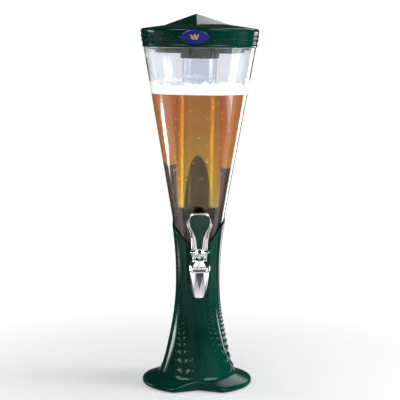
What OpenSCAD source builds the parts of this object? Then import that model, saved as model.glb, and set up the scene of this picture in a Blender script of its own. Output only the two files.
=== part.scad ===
// Table-top drinks tower: a twisted green foot, a clear tapered vessel, a chrome
// lever tap at the front and a lift-off lid that carries a tube for ice.
// Millimetres. +Z is up, the tap faces -Y, the origin is on the table at the axis.

/* [Foot] */
// outer radius of the standing flange
flange_r = 96.2; // [80:0.1:115]
// height of the flange's outer edge
flange_edge_h = 9; // [6:0.5:14]
// height of the flange where the column stands on it
flange_crown_h = 19; // [15:0.5:24]
// how far a V notch reaches in from the flange's edge
notch_depth = 25.7; // [18:0.1:30]
// half angle of a V notch, seen from the axis
notch_half_a = 26; // [15:1:35]
// rubber feet stand this far out of the flange
foot_proud = 1.5; // [0.5:0.5:3]

/* [Column] */
// radius of the column where it stands on the flange
column_foot_r = 68.2; // [62:0.1:80]
// wall of the column at its waist
waist_wall = 5.2; // [4.6:0.1:9]
// height of the waist below the vessel's shoulder
waist_drop = 55; // [45:1:65]
// thickness of the leaves against the vessel
leaf_t = 2.35; // [2:0.05:4]
// turn of the column between foot and top, degrees
twist_a = 46; // [20:1:60]
// depth of the creases between the leaves, share of the radius
crease_low = 0.1; // [0.02:0.01:0.12]
// rise of the leaf rim at the sides above its front
rim_side_rise = 45; // [30:1:60]
// how much more it rises at the right, and less at the left
rim_lean = 5.5; // [0:0.5:8]
// rise of the tip of the rear leaf above the front of the rim
rim_back_rise = 157; // [100:1:180]
// height of the wheat-ear relief
grain_h = 0.9; // [0.3:0.1:1.5]

/* [Vessel] */
// outer radius of the vessel where the lid meets it
vessel_top_r = 97; // [80:0.1:118]
// height of that line
vessel_top_z = 589; // [490:1:715]
// height of the shoulder between neck and taper
shoulder_z = 240; // [225:1:260]
// how far the vessel widens at that shoulder
shoulder_w = 4.3; // [3:0.1:6]
// wall thickness
vessel_wall = 2.6; // [2:0.1:3.2]
// outer radius of the neck inside the column
neck_r = 31.5; // [29:0.1:38]
// height of the neck, from the vessel's floor to the shoulder
neck_h = 44; // [42:1:50]

/* [Lid] */
// how far the lid stands out past the vessel
lid_overhang = 5; // [3.5:0.1:6]
// height of the lid's middle, where the crest stands on it
lid_h = 39.5; // [36:0.5:48]
// how far the lid slopes down from there to its edge
lid_fall = 8; // [4:0.5:9]
// height of the crest
crest_h = 17.5; // [12:0.5:35]
// lid and badge are turned by this angle
lid_turn = -7; // [-20:1:20]
// grain pairs on each side of the badge
lid_pairs = 34; // [20:1:40]
// badge width
badge_w = 52; // [40:1:60]
// badge height
badge_h = 24; // [16:0.5:25]

/* [Ice tube] */
// outer radius
ice_r = 29.4; // [24:0.1:36]
// wall
ice_wall = 2.2; // [1.5:0.1:4]
// lowest point of the tube above the vessel's shoulder
ice_clear = 69; // [50:1:120]

/* [Tap] */
// distance of the tap's upright axis in front of the boss that it is screwed to
tap_reach = 27; // [26:0.5:36]
// height of the feed line above the vessel's floor
feed_h = 22.5; // [20:0.5:24]
// greatest wall of the tap body
body_wall = 7.4; // [6:0.1:8.5]
// length of the spout
spout_len = 43.5; // [36:0.5:56]
// radius of the spout's outlet
outlet_r = 5.5; // [4:0.1:7]
// height of the lever's shield
lever_h = 64; // [50:0.5:75]
// greatest width of the lever
lever_w = 44; // [36:1:50]
// thickness of the lever
lever_t = 10; // [8:0.5:11]
// throw of the crank that lifts the valve
crank = 6; // [5:0.25:7]
// radial clearance of a turning or sliding metal pair
run_gap = 0.05; // [0.02:0.01:0.1]

/* [Hidden] */
$fn = 96;
part_gap = 0.3;
green = [0.03, 0.2, 0.14];
chrome_c = [0.8, 0.8, 0.82];
rubber_c = [0.12, 0.12, 0.12];
clear_c = [0.85, 0.92, 0.95, 0.35];

function clamp(x, a, b) = min(max(x, a), b);

// vessel: a straight taper from its shoulder to the line where the lid meets it
neck_top_z = shoulder_z - 5.5;
floor_z = shoulder_z - neck_h;
taper = (vessel_top_r - neck_r - shoulder_w) / (vessel_top_z - shoulder_z);
function vessel_r(z) = neck_r + shoulder_w + taper * (z - shoulder_z);

// column outline: a parabola down to the foot, and one up to the line that clears the vessel
bore_r = neck_r + 1.7;
waist_r = bore_r + waist_wall;
waist_z = shoulder_z - waist_drop;
flare_low = (column_foot_r - waist_r) / pow(waist_z - flange_crown_h, 2);
leaf_out = leaf_t + part_gap;
join_rise = 2 * (waist_r - vessel_r(waist_z) - leaf_out) / taper;
flare_high = taper / (2 * join_rise);
function column_r(z) =
    z < waist_z ? waist_r + flare_low * pow(waist_z - z, 2)
    : z < waist_z + join_rise ? waist_r + flare_high * pow(z - waist_z, 2)
    : vessel_r(z) + leaf_out;

rim_front_z = shoulder_z - 2;
twist_from = flange_crown_h + 1;
twist_to = rim_front_z + 27;
function twist(z) = -twist_a * sin(90 * clamp((z - twist_from) / (twist_to - twist_from), 0, 1));
// creases: deepest above the foot, shallow from the waist up, gone in the leaves
crease_top = 0.45 * crease_low;
function crease_depth(z) =
    z < 55 ? crease_low * clamp((z - twist_from) / (55 - twist_from), 0, 1)
    : z < 150 ? crease_low + (crease_top - crease_low) * (z - 55) / 95
    : crease_top * clamp(1 - (z - rim_front_z) / 60, 0, 1);

// leaf rim: low in front, a shoulder at the sides, one tall rounded leaf at the back
function rim_z(a) = let (b = abs(a) > 180 ? 360 - abs(a) : abs(a)) rim_front_z
    + rim_lean * sin(a) * abs(sin(a)) + (b < 90 ? rim_side_rise * pow(sin(b), 1.6)
    : rim_side_rise + (rim_back_rise - rim_side_rise) * (1 - cos(2 * (b - 90))) / 2);

// creases and wheat-ear bands, as angles from the front crease
creases = [0, 88, 180, 268];
bands = [58, 105, 238, 341];
function band_half(z) = 6.5 + 9.5 * pow(clamp((165 - z) / 125, 0, 1), 1.3);
function grain_pitch(z) = 0.46 * 2 * band_half(z) * column_r(z) * PI / 180;
function steps(a, b, n) = [for (i = [1:n]) a + (b - a) * i / n];
// columns of the skin: each entry is [angle, place across a band or 9 outside one]
function skin_cols(z) = let (w = band_half(z))
    concat(
        [for (t = steps(0, bands[0] - w, 5)) [t, 9]], band_cols(0, w),
        [for (t = steps(bands[0] + w, creases[1], 2)) [t, 9]],
        [for (t = steps(creases[1], bands[1] - w, 2)) [t, 9]], band_cols(1, w),
        [for (t = steps(bands[1] + w, 180, 6)) [t, 9]],
        [for (t = steps(180, bands[2] - w, 4)) [t, 9]], band_cols(2, w),
        [for (t = steps(bands[2] + w, creases[3], 2)) [t, 9]],
        [for (t = steps(creases[3], bands[3] - w, 6)) [t, 9]], band_cols(3, w),
        [for (t = steps(bands[3] + w, 360, 1)) [t, 9]]);
function band_cols(i, w) = [for (u = [-2:3]) [bands[i] + w * u / 3, u / 3]];
function crease_near(a) = max([for (c = concat(creases, [360]))
    pow(clamp(1 - abs(a - c) / 26, 0, 1), 2)]);

// heights of the skin's rows: a furrow and a grain row for each chevron
row_z0 = 12;
row_top = rim_front_z - 7;
function chevron_zs(z) = z > row_top ? [] : concat([z], chevron_zs(z + grain_pitch(z)));
chevrons = chevron_zs(26);
last_z = chevrons[len(chevrons) - 1];
low_rows = concat([row_z0, 17, 21.5],
    [for (i = [0:len(chevrons) - 1]) for (h = [0, 1])
        i == len(chevrons) - 1 && h == 1 ? last_z + 3
        : chevrons[i] + h * 0.5 * (i < len(chevrons) - 1 ? chevrons[i + 1] - chevrons[i] : 0)]);
n_low = len(low_rows);
n_high = 14;
z_join = low_rows[n_low - 1];
function row_is_grain(k) = k >= 3 && (k - 3) % 2 == 1;
function skin_pt(k, c) = let (
    t = k < n_low ? 0 : (k - n_low + 1) / n_high,
    zk = k < n_low ? low_rows[k] : z_join,
    v = k < 3 || c[1] == 9 ? 0
        : (k < n_low ? 1 : 1 - t) * 0.5 * grain_pitch(zk) * (1 - abs(c[1])),
    a0 = c[0] + twist(zk),
    top = rim_z(a0 > 180 ? a0 - 360 : a0),
    z = (k < n_low ? zk : z_join + (top - z_join) * t) - v,
    a = c[0] + twist(z),
    on = (c[1] == 9 || abs(c[1]) == 1) ? 0 : 1,
    fade = k < 3 ? 0 : k < 5 ? 0.5 : t > 0.95 ? 0 : 1,
    rel = on * fade * (row_is_grain(k) && c[1] != 0 ? 0.5 : -0.5) * grain_h,
    r = column_r(z) * (1 - crease_depth(z) * crease_near(c[0])) + rel)
    [r * sin(a), -r * cos(a), z];

module column_skin() {
    cols = [for (z = low_rows) skin_cols(z)];
    top_cols = cols[n_low - 1];
    n = len(top_cols);
    rows = n_low + n_high;
    outer = [for (k = [0:rows - 1]) for (j = [0:n - 1])
        skin_pt(k, k < n_low ? cols[k][j] : top_cols[j])];
    rim = [for (j = [0:n - 1]) let (p = outer[(rows - 1) * n + j], r = norm([p[0], p[1]]))
        [p[0] * (r - 8) / r, p[1] * (r - 8) / r, p[2]]];
    pts = concat(outer, rim, [[0, 0, row_z0], [0, 0, rim_front_z - 20]]);
    b = (rows + 1) * n;
    faces = concat(
        [for (k = [0:rows - 1]) for (j = [0:n - 1]) for (h = [0, 1]) let (
            p = k * n + j, q = k * n + (j + 1) % n)
            h == 0 ? [p, p + n, q] : [q, p + n, q + n]],
        [for (j = [0:n - 1]) [b, j, (j + 1) % n]],
        [for (j = [0:n - 1]) [b + 1, rows * n + (j + 1) % n, rows * n + j]]);
    polyhedron(points = pts, faces = faces, convexity = 6);
}

notch_r = flange_r - notch_depth;
module v_notch() {
    // wedge that is cut from the flange; its sides run from the bottom to the corners
    cx = flange_r * sin(notch_half_a);
    cy = flange_r * cos(notch_half_a);
    k = 1.6;
    far = flange_r + 60;
    linear_extrude(2 * flange_crown_h) polygon([[0, -notch_r],
        [cx * k, -notch_r - (cy - notch_r) * k], [cx * k, -far],
        [-cx * k, -far], [-cx * k, -notch_r - (cy - notch_r) * k]]);
}

feed_z = floor_z + feed_h;
module across(y, z = feed_z) translate([0, y, z]) rotate([-90, 0, 0]) children();
module each_corner(r) for (a = [45:90:315]) rotate([0, 0, a]) translate([r, 0, 0]) children();

// what is let into the flange from below, outside in: feet, plate, its screws, the hollow
foot_r = 8;
foot_pocket = 2;
foot_at = flange_r - foot_r - 6.2;
plate_r = foot_at - foot_r - 8.4;
plate_gap = 0.4;
plate_t = 2.5;
screw_r = 1.6;
screw_at = plate_r - 4.6;
foot_bore_r = plate_r - 8.6;

// the feed line's seats, outside in: boss, column's inner flat, vessel's outer and inner flats
inner_face = bore_r + 1.4;
boss_face = inner_face + 8.4;
tap_out = boss_face + tap_reach;
vessel_seat_y = neck_r + 1.1;
inner_seat_y = vessel_seat_y - 6.6;
gasket_t = 2;
shank_r = 8;
shank_hole_r = shank_r + 0.3;

// hollow of the column: it follows the outline a wall's thickness inside the creases
column_wall = 4.7;
function hollow_r(z) = max(bore_r,
    min(foot_bore_r - 5, column_r(z) * (1 - crease_depth(z)) - column_wall));
seat_r = vessel_r(shoulder_z) + part_gap;
hollow_top = rim_front_z + rim_back_rise + 25;
groove_h = 3;
cushion_h = 5;
module base_shell() color(green) difference() {
    union() {
        column_skin();
        difference() {
            rotate_extrude() polygon([[0, foot_proud], [flange_r - 1, foot_proud],
                [flange_r, foot_proud + 1], [flange_r, flange_edge_h - 1.5],
                [flange_r - 1.5, flange_edge_h], [notch_r - 2, flange_crown_h], [0, flange_crown_h]]);
            for (a = [0, 180]) rotate([0, 0, a]) v_notch();
        }
        across(-boss_face) cylinder(r = 15, h = boss_face - bore_r + 3);
    }
    rotate_extrude() polygon(concat([[0, -1], [foot_bore_r, -1], [foot_bore_r, 9.5]],
        [for (k = [0:4]) let (z = 19.5 + (waist_z - 54.5) * k / 4) [hollow_r(z), z]],
        [[bore_r, neck_top_z], [seat_r, shoulder_z],
        [vessel_r(hollow_top) + part_gap, hollow_top], [0, hollow_top]]));
    // groove for the edge of the cushion, just under the vessel's floor
    translate([0, 0, floor_z - cushion_h]) cylinder(r = bore_r + 0.6, h = groove_h);
    // recess for the bottom plate, screw holes and foot pockets
    translate([0, 0, -1]) cylinder(r = plate_r + plate_gap, h = foot_proud + plate_t + 1);
    each_corner(screw_at) cylinder(r = screw_r, h = 13, $fn = 32);
    each_corner(foot_at) cylinder(r = foot_r, h = foot_proud + foot_pocket, $fn = 48);
    // feed hole and the flat inside it
    across(-boss_face - 5) cylinder(r = shank_hole_r + 0.1, h = boss_face + 5 - bore_r + 10);
    across(-inner_face) cylinder(r = 13, h = 12);
}

collar_ring_r = foot_bore_r - 7;
module base_plate() color([0.04, 0.12, 0.09]) difference() {
    union() {
        translate([0, 0, foot_proud]) cylinder(r = plate_r, h = plate_t);
        translate([0, 0, foot_proud + plate_t]) difference() {
            cylinder(r = collar_ring_r, h = 8);
            translate([0, 0, -1]) cylinder(r = collar_ring_r - 2.5, h = 12);
        }
    }
    each_corner(screw_at) {
        cylinder(r = screw_r + 0.4, h = 12, $fn = 32);
        translate([0, 0, -1]) cylinder(r1 = 5.2, r2 = 0.01, h = 5.2, $fn = 48);
    }
    // drain and vent slots
    for (a = [0:60:300]) rotate([0, 0, a]) translate([collar_ring_r - 26, -2, 0]) cube([14, 4, 12]);
}

module base_screws() color([0.6, 0.6, 0.62]) each_corner(screw_at) difference() {
    union() {
        translate([0, 0, foot_proud]) cylinder(r = screw_r, h = 11, $fn = 32);
        translate([0, 0, foot_proud]) cylinder(r1 = screw_r + 1.1, r2 = screw_r, h = 1.1, $fn = 48);
    }
    translate([-0.45, -3, 0]) cube([0.9, 6, foot_proud + 0.6]);
}

module base_feet() color(rubber_c) each_corner(foot_at)
    rotate_extrude($fn = 64) polygon([[0, 0], [foot_r - 1, 0], [foot_r - 0.4, 0.6],
        [foot_r, foot_proud + 0.5], [foot_r, foot_proud + foot_pocket], [0, foot_proud + foot_pocket]]);

// soft ring that the vessel's floor stands on; its edge sits in the groove of the column
module vessel_cushion() color(rubber_c) translate([0, 0, floor_z - cushion_h]) difference() {
    union() {
        cylinder(r = bore_r + 0.6, h = groove_h);
        cylinder(r = bore_r - 1, h = cushion_h);
    }
    translate([0, 0, -1]) cylinder(r = neck_r - 11.5, h = cushion_h + 3);
}

rebate_r = vessel_top_r - 2.3;
rebate_top = vessel_top_z + 8;
neck_wall = 3;
module vessel() color(clear_c) difference() {
    union() {
        rotate_extrude($fn = 180) polygon([[0, floor_z], [neck_r - 2, floor_z], [neck_r, floor_z + 2],
            [neck_r, neck_top_z], [vessel_r(shoulder_z), shoulder_z],
            [vessel_top_r - 0.1, vessel_top_z - 0.4],
            [rebate_r, vessel_top_z - 0.4], [rebate_r, rebate_top],
            [rebate_r - vessel_wall, rebate_top], [rebate_r - vessel_wall, vessel_top_z - 13],
            [vessel_r(vessel_top_z - 33) - vessel_wall, vessel_top_z - 33],
            [vessel_r(shoulder_z + 2) - vessel_wall - 0.2, shoulder_z + 2],
            [neck_r - neck_wall, neck_top_z + 1.5], [neck_r - neck_wall, floor_z + 6],
            [neck_r - 2 * neck_wall, floor_z + 3.5], [0, floor_z + neck_wall]]);
        across(-vessel_seat_y) cylinder(r = 12.5, h = vessel_seat_y - inner_seat_y);
    }
    across(-vessel_seat_y - 3) cylinder(r = shank_hole_r, h = 15);
}

// ring on the vessel's mouth; the lid's plug drops into it
mouth_r = rebate_r - 15.4;
ring_in_r = rebate_r - vessel_wall - part_gap;
module rim_ring() color(green) rotate_extrude($fn = 180) polygon([[mouth_r, rebate_top],
    [mouth_r + 1, rebate_top - 1], [ring_in_r - 0.5, rebate_top - 4], [ring_in_r, rebate_top - 4],
    [ring_in_r, rebate_top], [rebate_r, rebate_top], [rebate_r, rebate_top + 1.9],
    [rebate_r - 0.5, rebate_top + 2.4], [mouth_r, rebate_top + 2.4]]);

/* tap ------------------------------------------------------------------ */
feed_r = 4.5;
// the pipe between body and shank lies level with the body's cylinder, below the bonnet
body_half_h = 9.5;
pipe_r = body_half_h - 0.1;
module ring(y0, y1, ro, ri) across(y0) difference() {
    cylinder(r = ro, h = y1 - y0);
    translate([0, 0, -1]) cylinder(r = ri, h = y1 - y0 + 2);
}
module shank_gasket_outer() color(rubber_c)
    ring(-boss_face - gasket_t, -boss_face, 13, shank_r + 0.1);
module shank_gasket_mid() color(rubber_c) ring(-inner_face, -vessel_seat_y, 12, shank_r + 0.1);
module shank_gasket_inner() color(rubber_c)
    ring(-inner_seat_y, gasket_t - inner_seat_y, 12, shank_r + 0.1);

// valve and body, inside out: outlet, cup, chamber, wall
cup_r = outlet_r + 2.5;
chamber_r = cup_r + 3;
body_r = chamber_r + body_wall;

// the shank's flange meets the tap just behind the widest part of its body
shank_front = tap_out - body_r - 1.1;
shank_end = inner_seat_y - 11;
spigot_len = 2;
hex_t = 2.3;
nut_t = 6;
module tap_shank() color(chrome_c) difference() {
    union() {
        across(-shank_front - spigot_len)
            cylinder(r = shank_r, h = shank_front + spigot_len - shank_end);
        across(-shank_front) cylinder(r = pipe_r, h = shank_front - boss_face - gasket_t - hex_t / 2);
        across(-boss_face - gasket_t - hex_t) cylinder(r = 13.6, h = hex_t, $fn = 6);
    }
    across(-shank_front - 4) cylinder(r = feed_r, h = shank_front);
}
module shank_nut() color(chrome_c) difference() {
    across(gasket_t - inner_seat_y) cylinder(r = 13, h = nut_t, $fn = 6);
    across(gasket_t - inner_seat_y - 1) cylinder(r = shank_r, h = nut_t + 2);
}

body_top = feed_z + body_half_h;
body_low = feed_z - body_half_h;
spigot_r = chamber_r + 1;
seat_z = body_low + 1.5;
module at_tap() translate([0, -tap_out, 0]) children();
module tap_body() color(chrome_c) difference() {
    union() {
        at_tap() rotate_extrude() polygon([[0, body_low - 4], [spigot_r, body_low - 4],
            [spigot_r, body_low],
            [body_r - 2, body_low], [body_r - 0.6, body_low + 2], [body_r, body_low + 6],
            [body_r, body_low + 10], [body_r - 0.8, body_low + 14], [body_r - 2.6, body_low + 17],
            [body_r - 4.4, body_top], [0, body_top]]);
        across(-tap_out) cylinder(r = pipe_r, h = tap_out - shank_front);
    }
    at_tap() {
        translate([0, 0, seat_z]) cylinder(r = chamber_r, h = 30);
        translate([0, 0, body_low - 10]) cylinder(r = outlet_r, h = 20);
    }
    across(-tap_out) cylinder(r = feed_r, h = tap_out - shank_front);
    across(-shank_front - spigot_len) cylinder(r = shank_r, h = spigot_len + 4);
}

spout_top_z = body_low;
spout_tip_z = spout_top_z - spout_len;
spout_knee_z = spout_tip_z + 15;
spout_top_w = body_r - 2.2;
spout_knee_w = spout_top_w - 4;
spout_tip_w = outlet_r + 2.5;
// eight corners, turned half a side between top and knee, so the facets there are triangles
module octagon(w, z, turn) translate([0, 0, z]) rotate([0, 0, turn])
    cylinder(r = w / cos(22.5), h = 0.01, $fn = 8);
module spout_sides() {
    hull() {
        octagon(spout_top_w, spout_top_z - 0.01, 22.5);
        octagon(spout_knee_w, spout_knee_z, 0);
    }
    hull() {
        octagon(spout_knee_w, spout_knee_z, 0);
        octagon(spout_tip_w, spout_tip_z, 0);
    }
}
module tap_spout() color(chrome_c) at_tap() difference() {
    spout_sides();
    translate([0, 0, spout_tip_z - 1]) cylinder(r = outlet_r, h = spout_len + 14);
    translate([0, 0, spout_top_z - 6]) cylinder(r = spigot_r + run_gap, h = 10);
}
module spout_seal() color(rubber_c) at_tap() translate([0, 0, spout_top_z - 6]) difference() {
    cylinder(r = spigot_r - 0.1, h = 2);
    translate([0, 0, -1]) cylinder(r = outlet_r + 0.3, h = 4);
}

// bonnet: closes the chamber, guides the stem and carries the lever between two ears
ear_top_z = body_top + 16.6;
slot_x = 6.6;
pivot_y = -tap_out - crank;
pivot_z = body_top + 10;
stem_r = 2.5;
pin_r = 1.5;
plug_h = 4;
seal_t = 1.2;
bonnet_r = chamber_r + 1.4;
module bonnet_flare() at_tap() rotate_extrude() polygon([[0, body_top],
    [bonnet_r, body_top], [bonnet_r + 0.2, body_top + 3], [bonnet_r + 1.6, body_top + 8],
    [bonnet_r + 4.8, ear_top_z - 1], [bonnet_r + 4.6, ear_top_z], [bonnet_r + 2.4, ear_top_z],
    [bonnet_r - 0.4, body_top + 10], [0, body_top + 10]]);
module tap_bonnet() color(chrome_c) difference() {
    union() {
        bonnet_flare();
        at_tap() translate([0, 0, body_top - plug_h]) cylinder(r = chamber_r - 0.05, h = plug_h + 2);
        // ears
        intersection() {
            at_tap() translate([0, 0, body_top])
                cylinder(r1 = bonnet_r + 0.2, r2 = bonnet_r + 3, h = ear_top_z - body_top);
            translate([-20, pivot_y - 4.5, body_top]) cube([40, 9, pivot_z + 4.5 - body_top]);
        }
    }
    // slot for the lever and the head of the stem
    translate([-slot_x, -tap_out - 30, body_top + 3.2]) cube([2 * slot_x, 60, 40]);
    at_tap() translate([0, 0, body_top - 20]) cylinder(r = stem_r + run_gap, h = 40);
    translate([-30, pivot_y, pivot_z]) rotate([0, 90, 0]) cylinder(r = pin_r, h = 60, $fn = 48);
}
module bonnet_seal() color(rubber_c) at_tap() translate([0, 0, body_top - plug_h - seal_t]) difference() {
    cylinder(r = chamber_r - 0.1, h = seal_t);
    translate([0, 0, -1]) cylinder(r = stem_r + 0.3, h = 4);
}
module pivot_pin() color(chrome_c) translate([-10.8, pivot_y, pivot_z]) rotate([0, 90, 0])
    cylinder(r = pin_r, h = 21.6, $fn = 48);

// stem with a slotted head that the crank pin lifts
slot_h = 2.9;
module valve_stem() color(chrome_c) at_tap() difference() {
    union() {
        translate([0, 0, seat_z + 1.5]) cylinder(r = stem_r, h = pivot_z - 5 - seat_z - 1.5, $fn = 64);
        translate([-2.2, -4.2, pivot_z - 5.2]) cube([4.4, 8.4, 8.2]);
        translate([0, 0, seat_z + 1.5]) cylinder(r = 5.2, h = 1.2);
    }
    translate([-5, -2.9, pivot_z - slot_h / 2]) cube([10, 4.7, slot_h]);
}
module valve_cup() color(rubber_c) at_tap() translate([0, 0, seat_z]) rotate_extrude()
    polygon([[0, -1.2], [outlet_r - 0.9, -1.2], [outlet_r - 0.3, 0], [cup_r, 0], [cup_r, 1.2],
        [cup_r - 1, 1.5], [0, 1.5]]);

// coil spring, wound as a round wire swept along a helix, with flat end coils
wire_r = 0.55;
spring_r = 4;
spring_z0 = seat_z + 2.7 + wire_r;
spring_z1 = body_top - plug_h - seal_t - wire_r;
function spring_at(t, turns) = let (
    e = 0.85 / turns, s = clamp((t - e) / (1 - 2 * e), 0, 1),
    dead = 2 * wire_r + 0.25)
    [spring_r * cos(360 * turns * t), spring_r * sin(360 * turns * t),
     t < e ? dead * t / e : t > 1 - e ? (spring_z1 - spring_z0) - dead * (1 - t) / e
     : dead + s * (spring_z1 - spring_z0 - 2 * dead)];
module valve_spring() color([0.7, 0.7, 0.72]) at_tap() translate([0, 0, spring_z0])
    coil(turns = 4.6, seg = 20, m = 8);
module coil(turns, seg, m) {
    n = round(turns * seg);
    pts = [for (i = [0:n]) let (t = i / n, p = spring_at(t, turns), a = 360 * turns * t)
        for (j = [0:m - 1]) let (b = 360 * j / m)
            [p[0] + wire_r * cos(b) * cos(a), p[1] + wire_r * cos(b) * sin(a),
             p[2] + wire_r * sin(b)]];
    faces = concat([[for (j = [0:m - 1]) j]],
        [for (i = [0:n - 1]) for (j = [0:m - 1]) for (h = [0, 1]) let (
            p = i * m + j, q = i * m + (j + 1) % m)
            h == 0 ? [p, p + m, q] : [q, p + m, q + m]],
        [[for (j = [m - 1:-1:0]) n * m + j]]);
    polyhedron(points = pts, faces = faces, convexity = 8);
}

// lever: shield-shaped chrome frame on two cheeks
lever_low_z = ear_top_z + 1.4;
lever_top_z = lever_low_z + lever_h;
lever_shoulder_z = lever_top_z - 18;
neck_w = 28;
module shield(d) polygon([[-neck_w / 2 + d, lever_low_z + d], [neck_w / 2 - d, lever_low_z + d],
    [neck_w / 2 - 0.8 - d * 1.05, lever_low_z + 12], [neck_w / 2 + 1.6 - d * 1.1, lever_low_z + 24],
    [lever_w / 2 - d, lever_shoulder_z],
    [lever_w / 2 - 5.5 - d * 0.6, lever_top_z - 3 - d * 0.6],
    [lever_w / 2 - 9.5 - d * 0.3, lever_top_z - d], [-lever_w / 2 + 9.5 + d * 0.3, lever_top_z - d],
    [-lever_w / 2 + 5.5 + d * 0.6, lever_top_z - 3 - d * 0.6],
    [-lever_w / 2 + d, lever_shoulder_z],
    [-neck_w / 2 - 1.6 + d * 1.1, lever_low_z + 24], [-neck_w / 2 + 0.8 + d * 1.05, lever_low_z + 12]]);
frame_w = 4.2;
inlay_t = 2.2;
module upright(y0, y1) translate([0, y1, 0]) rotate([90, 0, 0]) linear_extrude(y1 - y0) children();
module tap_lever() color(chrome_c) difference() {
    union() {
        upright(-tap_out - lever_t / 2 + 1.2, -tap_out + lever_t / 2 - 1.2) shield(0);
        upright(-tap_out - lever_t / 2, -tap_out + lever_t / 2) shield(1.4);
        for (s = [-1, 1]) hull() {
            translate([s * 4.7 - 1.5, pivot_y, pivot_z]) rotate([0, 90, 0]) cylinder(r = 3.6, h = 3);
            translate([s * 4.7 - 1.5, -tap_out, pivot_z]) rotate([0, 90, 0]) cylinder(r = 3.2, h = 3);
            translate([s * 4.7 - 1.5, -tap_out - 4.4, lever_low_z + 0.5]) cube([3, 7.4, 1.5]);
        }
    }
    for (s = [-1, 1]) upright(-tap_out + s * lever_t / 2 - inlay_t, -tap_out + s * lever_t / 2 + inlay_t)
        shield(frame_w);
    translate([-30, pivot_y, pivot_z]) rotate([0, 90, 0])
        cylinder(r = pin_r + run_gap, h = 60, $fn = 48);
    translate([-30, -tap_out, pivot_z]) rotate([0, 90, 0]) cylinder(r = 1.2, h = 60, $fn = 48);
}
module inlay(s) color(green) upright(
    -tap_out + (s > 0 ? lever_t / 2 - inlay_t : -lever_t / 2 + 0.5),
    -tap_out + (s > 0 ? lever_t / 2 - 0.5 : -lever_t / 2 + inlay_t)) shield(frame_w + 0.05);
module lever_inlay_front() inlay(-1);
module lever_inlay_back() inlay(1);
module crank_pin() color(chrome_c) translate([-6.1, -tap_out, pivot_z]) rotate([0, 90, 0])
    cylinder(r = 1.2, h = 12.2, $fn = 48);

/* lid ------------------------------------------------------------------- */
lid_t = 2.6;
lid_r = vessel_top_r + lid_overhang;
lid_low_z = vessel_top_z;
lid_top_z = lid_low_z + lid_h;
ceiling_z = lid_top_z - lid_t;
skirt_r = mouth_r - 2;
skirt_low_z = lid_low_z - 6;
band_top = lid_h - lid_fall - 5.5;
function band_r(z) = vessel_top_r + 0.9 + (z - lid_low_z) * (lid_overhang - 1.2) / band_top;
// upper side: level under the crest, then a slope down to the edge
slope_r = lid_r - 57;
function slope_z(r) = lid_top_z - lid_fall * max(0, r - slope_r) / (lid_r - slope_r);
module lid_profile() polygon([[rebate_r + part_gap, lid_low_z], [vessel_top_r + 0.5, lid_low_z],
    [band_r(lid_low_z) + 0.1, lid_low_z + 0.6], [band_r(lid_low_z + 4), lid_low_z + 4],
    [band_r(lid_low_z + band_top), lid_low_z + band_top],
    [lid_r, slope_z(lid_r) - 4], [lid_r, slope_z(lid_r) - 2.4], [lid_r - 0.7, slope_z(lid_r) - 1],
    [lid_r - 2.4, slope_z(lid_r - 2.4)], [slope_r, lid_top_z], [0, lid_top_z], [0, ceiling_z],
    [slope_r, ceiling_z], [skirt_r - lid_t, slope_z(skirt_r - lid_t) - lid_t],
    [skirt_r - lid_t, skirt_low_z], [skirt_r - 0.4, skirt_low_z], [skirt_r, skirt_low_z + 0.6],
    [skirt_r, slope_z(skirt_r) - lid_t], [mouth_r + 4, slope_z(mouth_r + 4) - lid_t],
    [mouth_r + 4, rebate_top + 2.5], [mouth_r + 7, rebate_top + 2.5],
    [mouth_r + 7, slope_z(mouth_r + 7) - lid_t], [rebate_r + part_gap, slope_z(rebate_r) - lid_t - 1.5]]);
// one grain of the wheat ear: a short rod lying on the band, leaning up or down
grain_z = lid_low_z + 15.8;
grain_len = 7.5;
module lid_grain(a, up, side) rotate([0, 0, a])
    translate([0, -(band_r(grain_z + up * 3.4) - 0.35), grain_z + up * 3.4])
        rotate([0, side * (90 + up * 38), 0])
            translate([0, 0, -grain_len / 2]) cylinder(r = 1.15, h = grain_len, $fn = 20);
grain_from = (badge_w / 2 + 9.5) / lid_r * 180 / PI;
boss_r = 24;
rib_h = 14;
module lid_turned() rotate([0, 0, lid_turn]) children();
// crest: a leaning pyramid, sunk into the slope; d moves it down to hollow the lid under it
crest_r = slope_r + 7.5;
crest_sunk = 4;
crest_shift = -3.2;
crest_lean = 3.3;
module crest(d) translate([crest_shift, 0, lid_top_z - d * 1.1]) rotate([0, 0, 2.5])
    multmatrix([[1, 0, -crest_lean / crest_h, 0], [0, 1, 0, 0], [0, 0, 1, 0], [0, 0, 0, 1]])
    translate([0, 0, -crest_sunk]) cylinder(r1 = crest_r + crest_sunk * (crest_r - 1.2) / crest_h,
        r2 = 1.2, h = crest_h + crest_sunk, $fn = 4);
module lid() color(green) lid_turned() difference() {
    union() {
        difference() {
            union() {
                rotate_extrude($fn = 180) lid_profile();
                crest(0);
                for (i = [0:lid_pairs - 1]) for (s = [-1, 1]) for (u = [-1, 1])
                    lid_grain(s * (grain_from + i * (178 - grain_from) / (lid_pairs - 1)), u, s);
            }
            crest(3.2);
        }
        // boss that the ice collar is screwed to, on two crossed ribs
        translate([0, 0, skirt_low_z]) cylinder(r = boss_r, h = ceiling_z - skirt_low_z + 0.5);
        intersection() {
            for (a = [0, 90]) rotate([0, 0, a]) translate([-skirt_r + 1, -1.2, ceiling_z - rib_h])
                cube([2 * skirt_r - 2, 2.4, rib_h + 0.5]);
            rotate_extrude() polygon([[0, skirt_low_z], [skirt_r, skirt_low_z],
                [skirt_r, slope_z(skirt_r) - 1.3], [slope_r, lid_top_z - 1.3], [0, lid_top_z - 1.3]]);
        }
    }
    badge_blank(lid_r - 5, lid_r + 5, 0);
    translate([0, 0, skirt_low_z - 1]) cylinder(r = 2, h = 18, $fn = 32);
}
badge_z = lid_low_z + 17.5;
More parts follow.
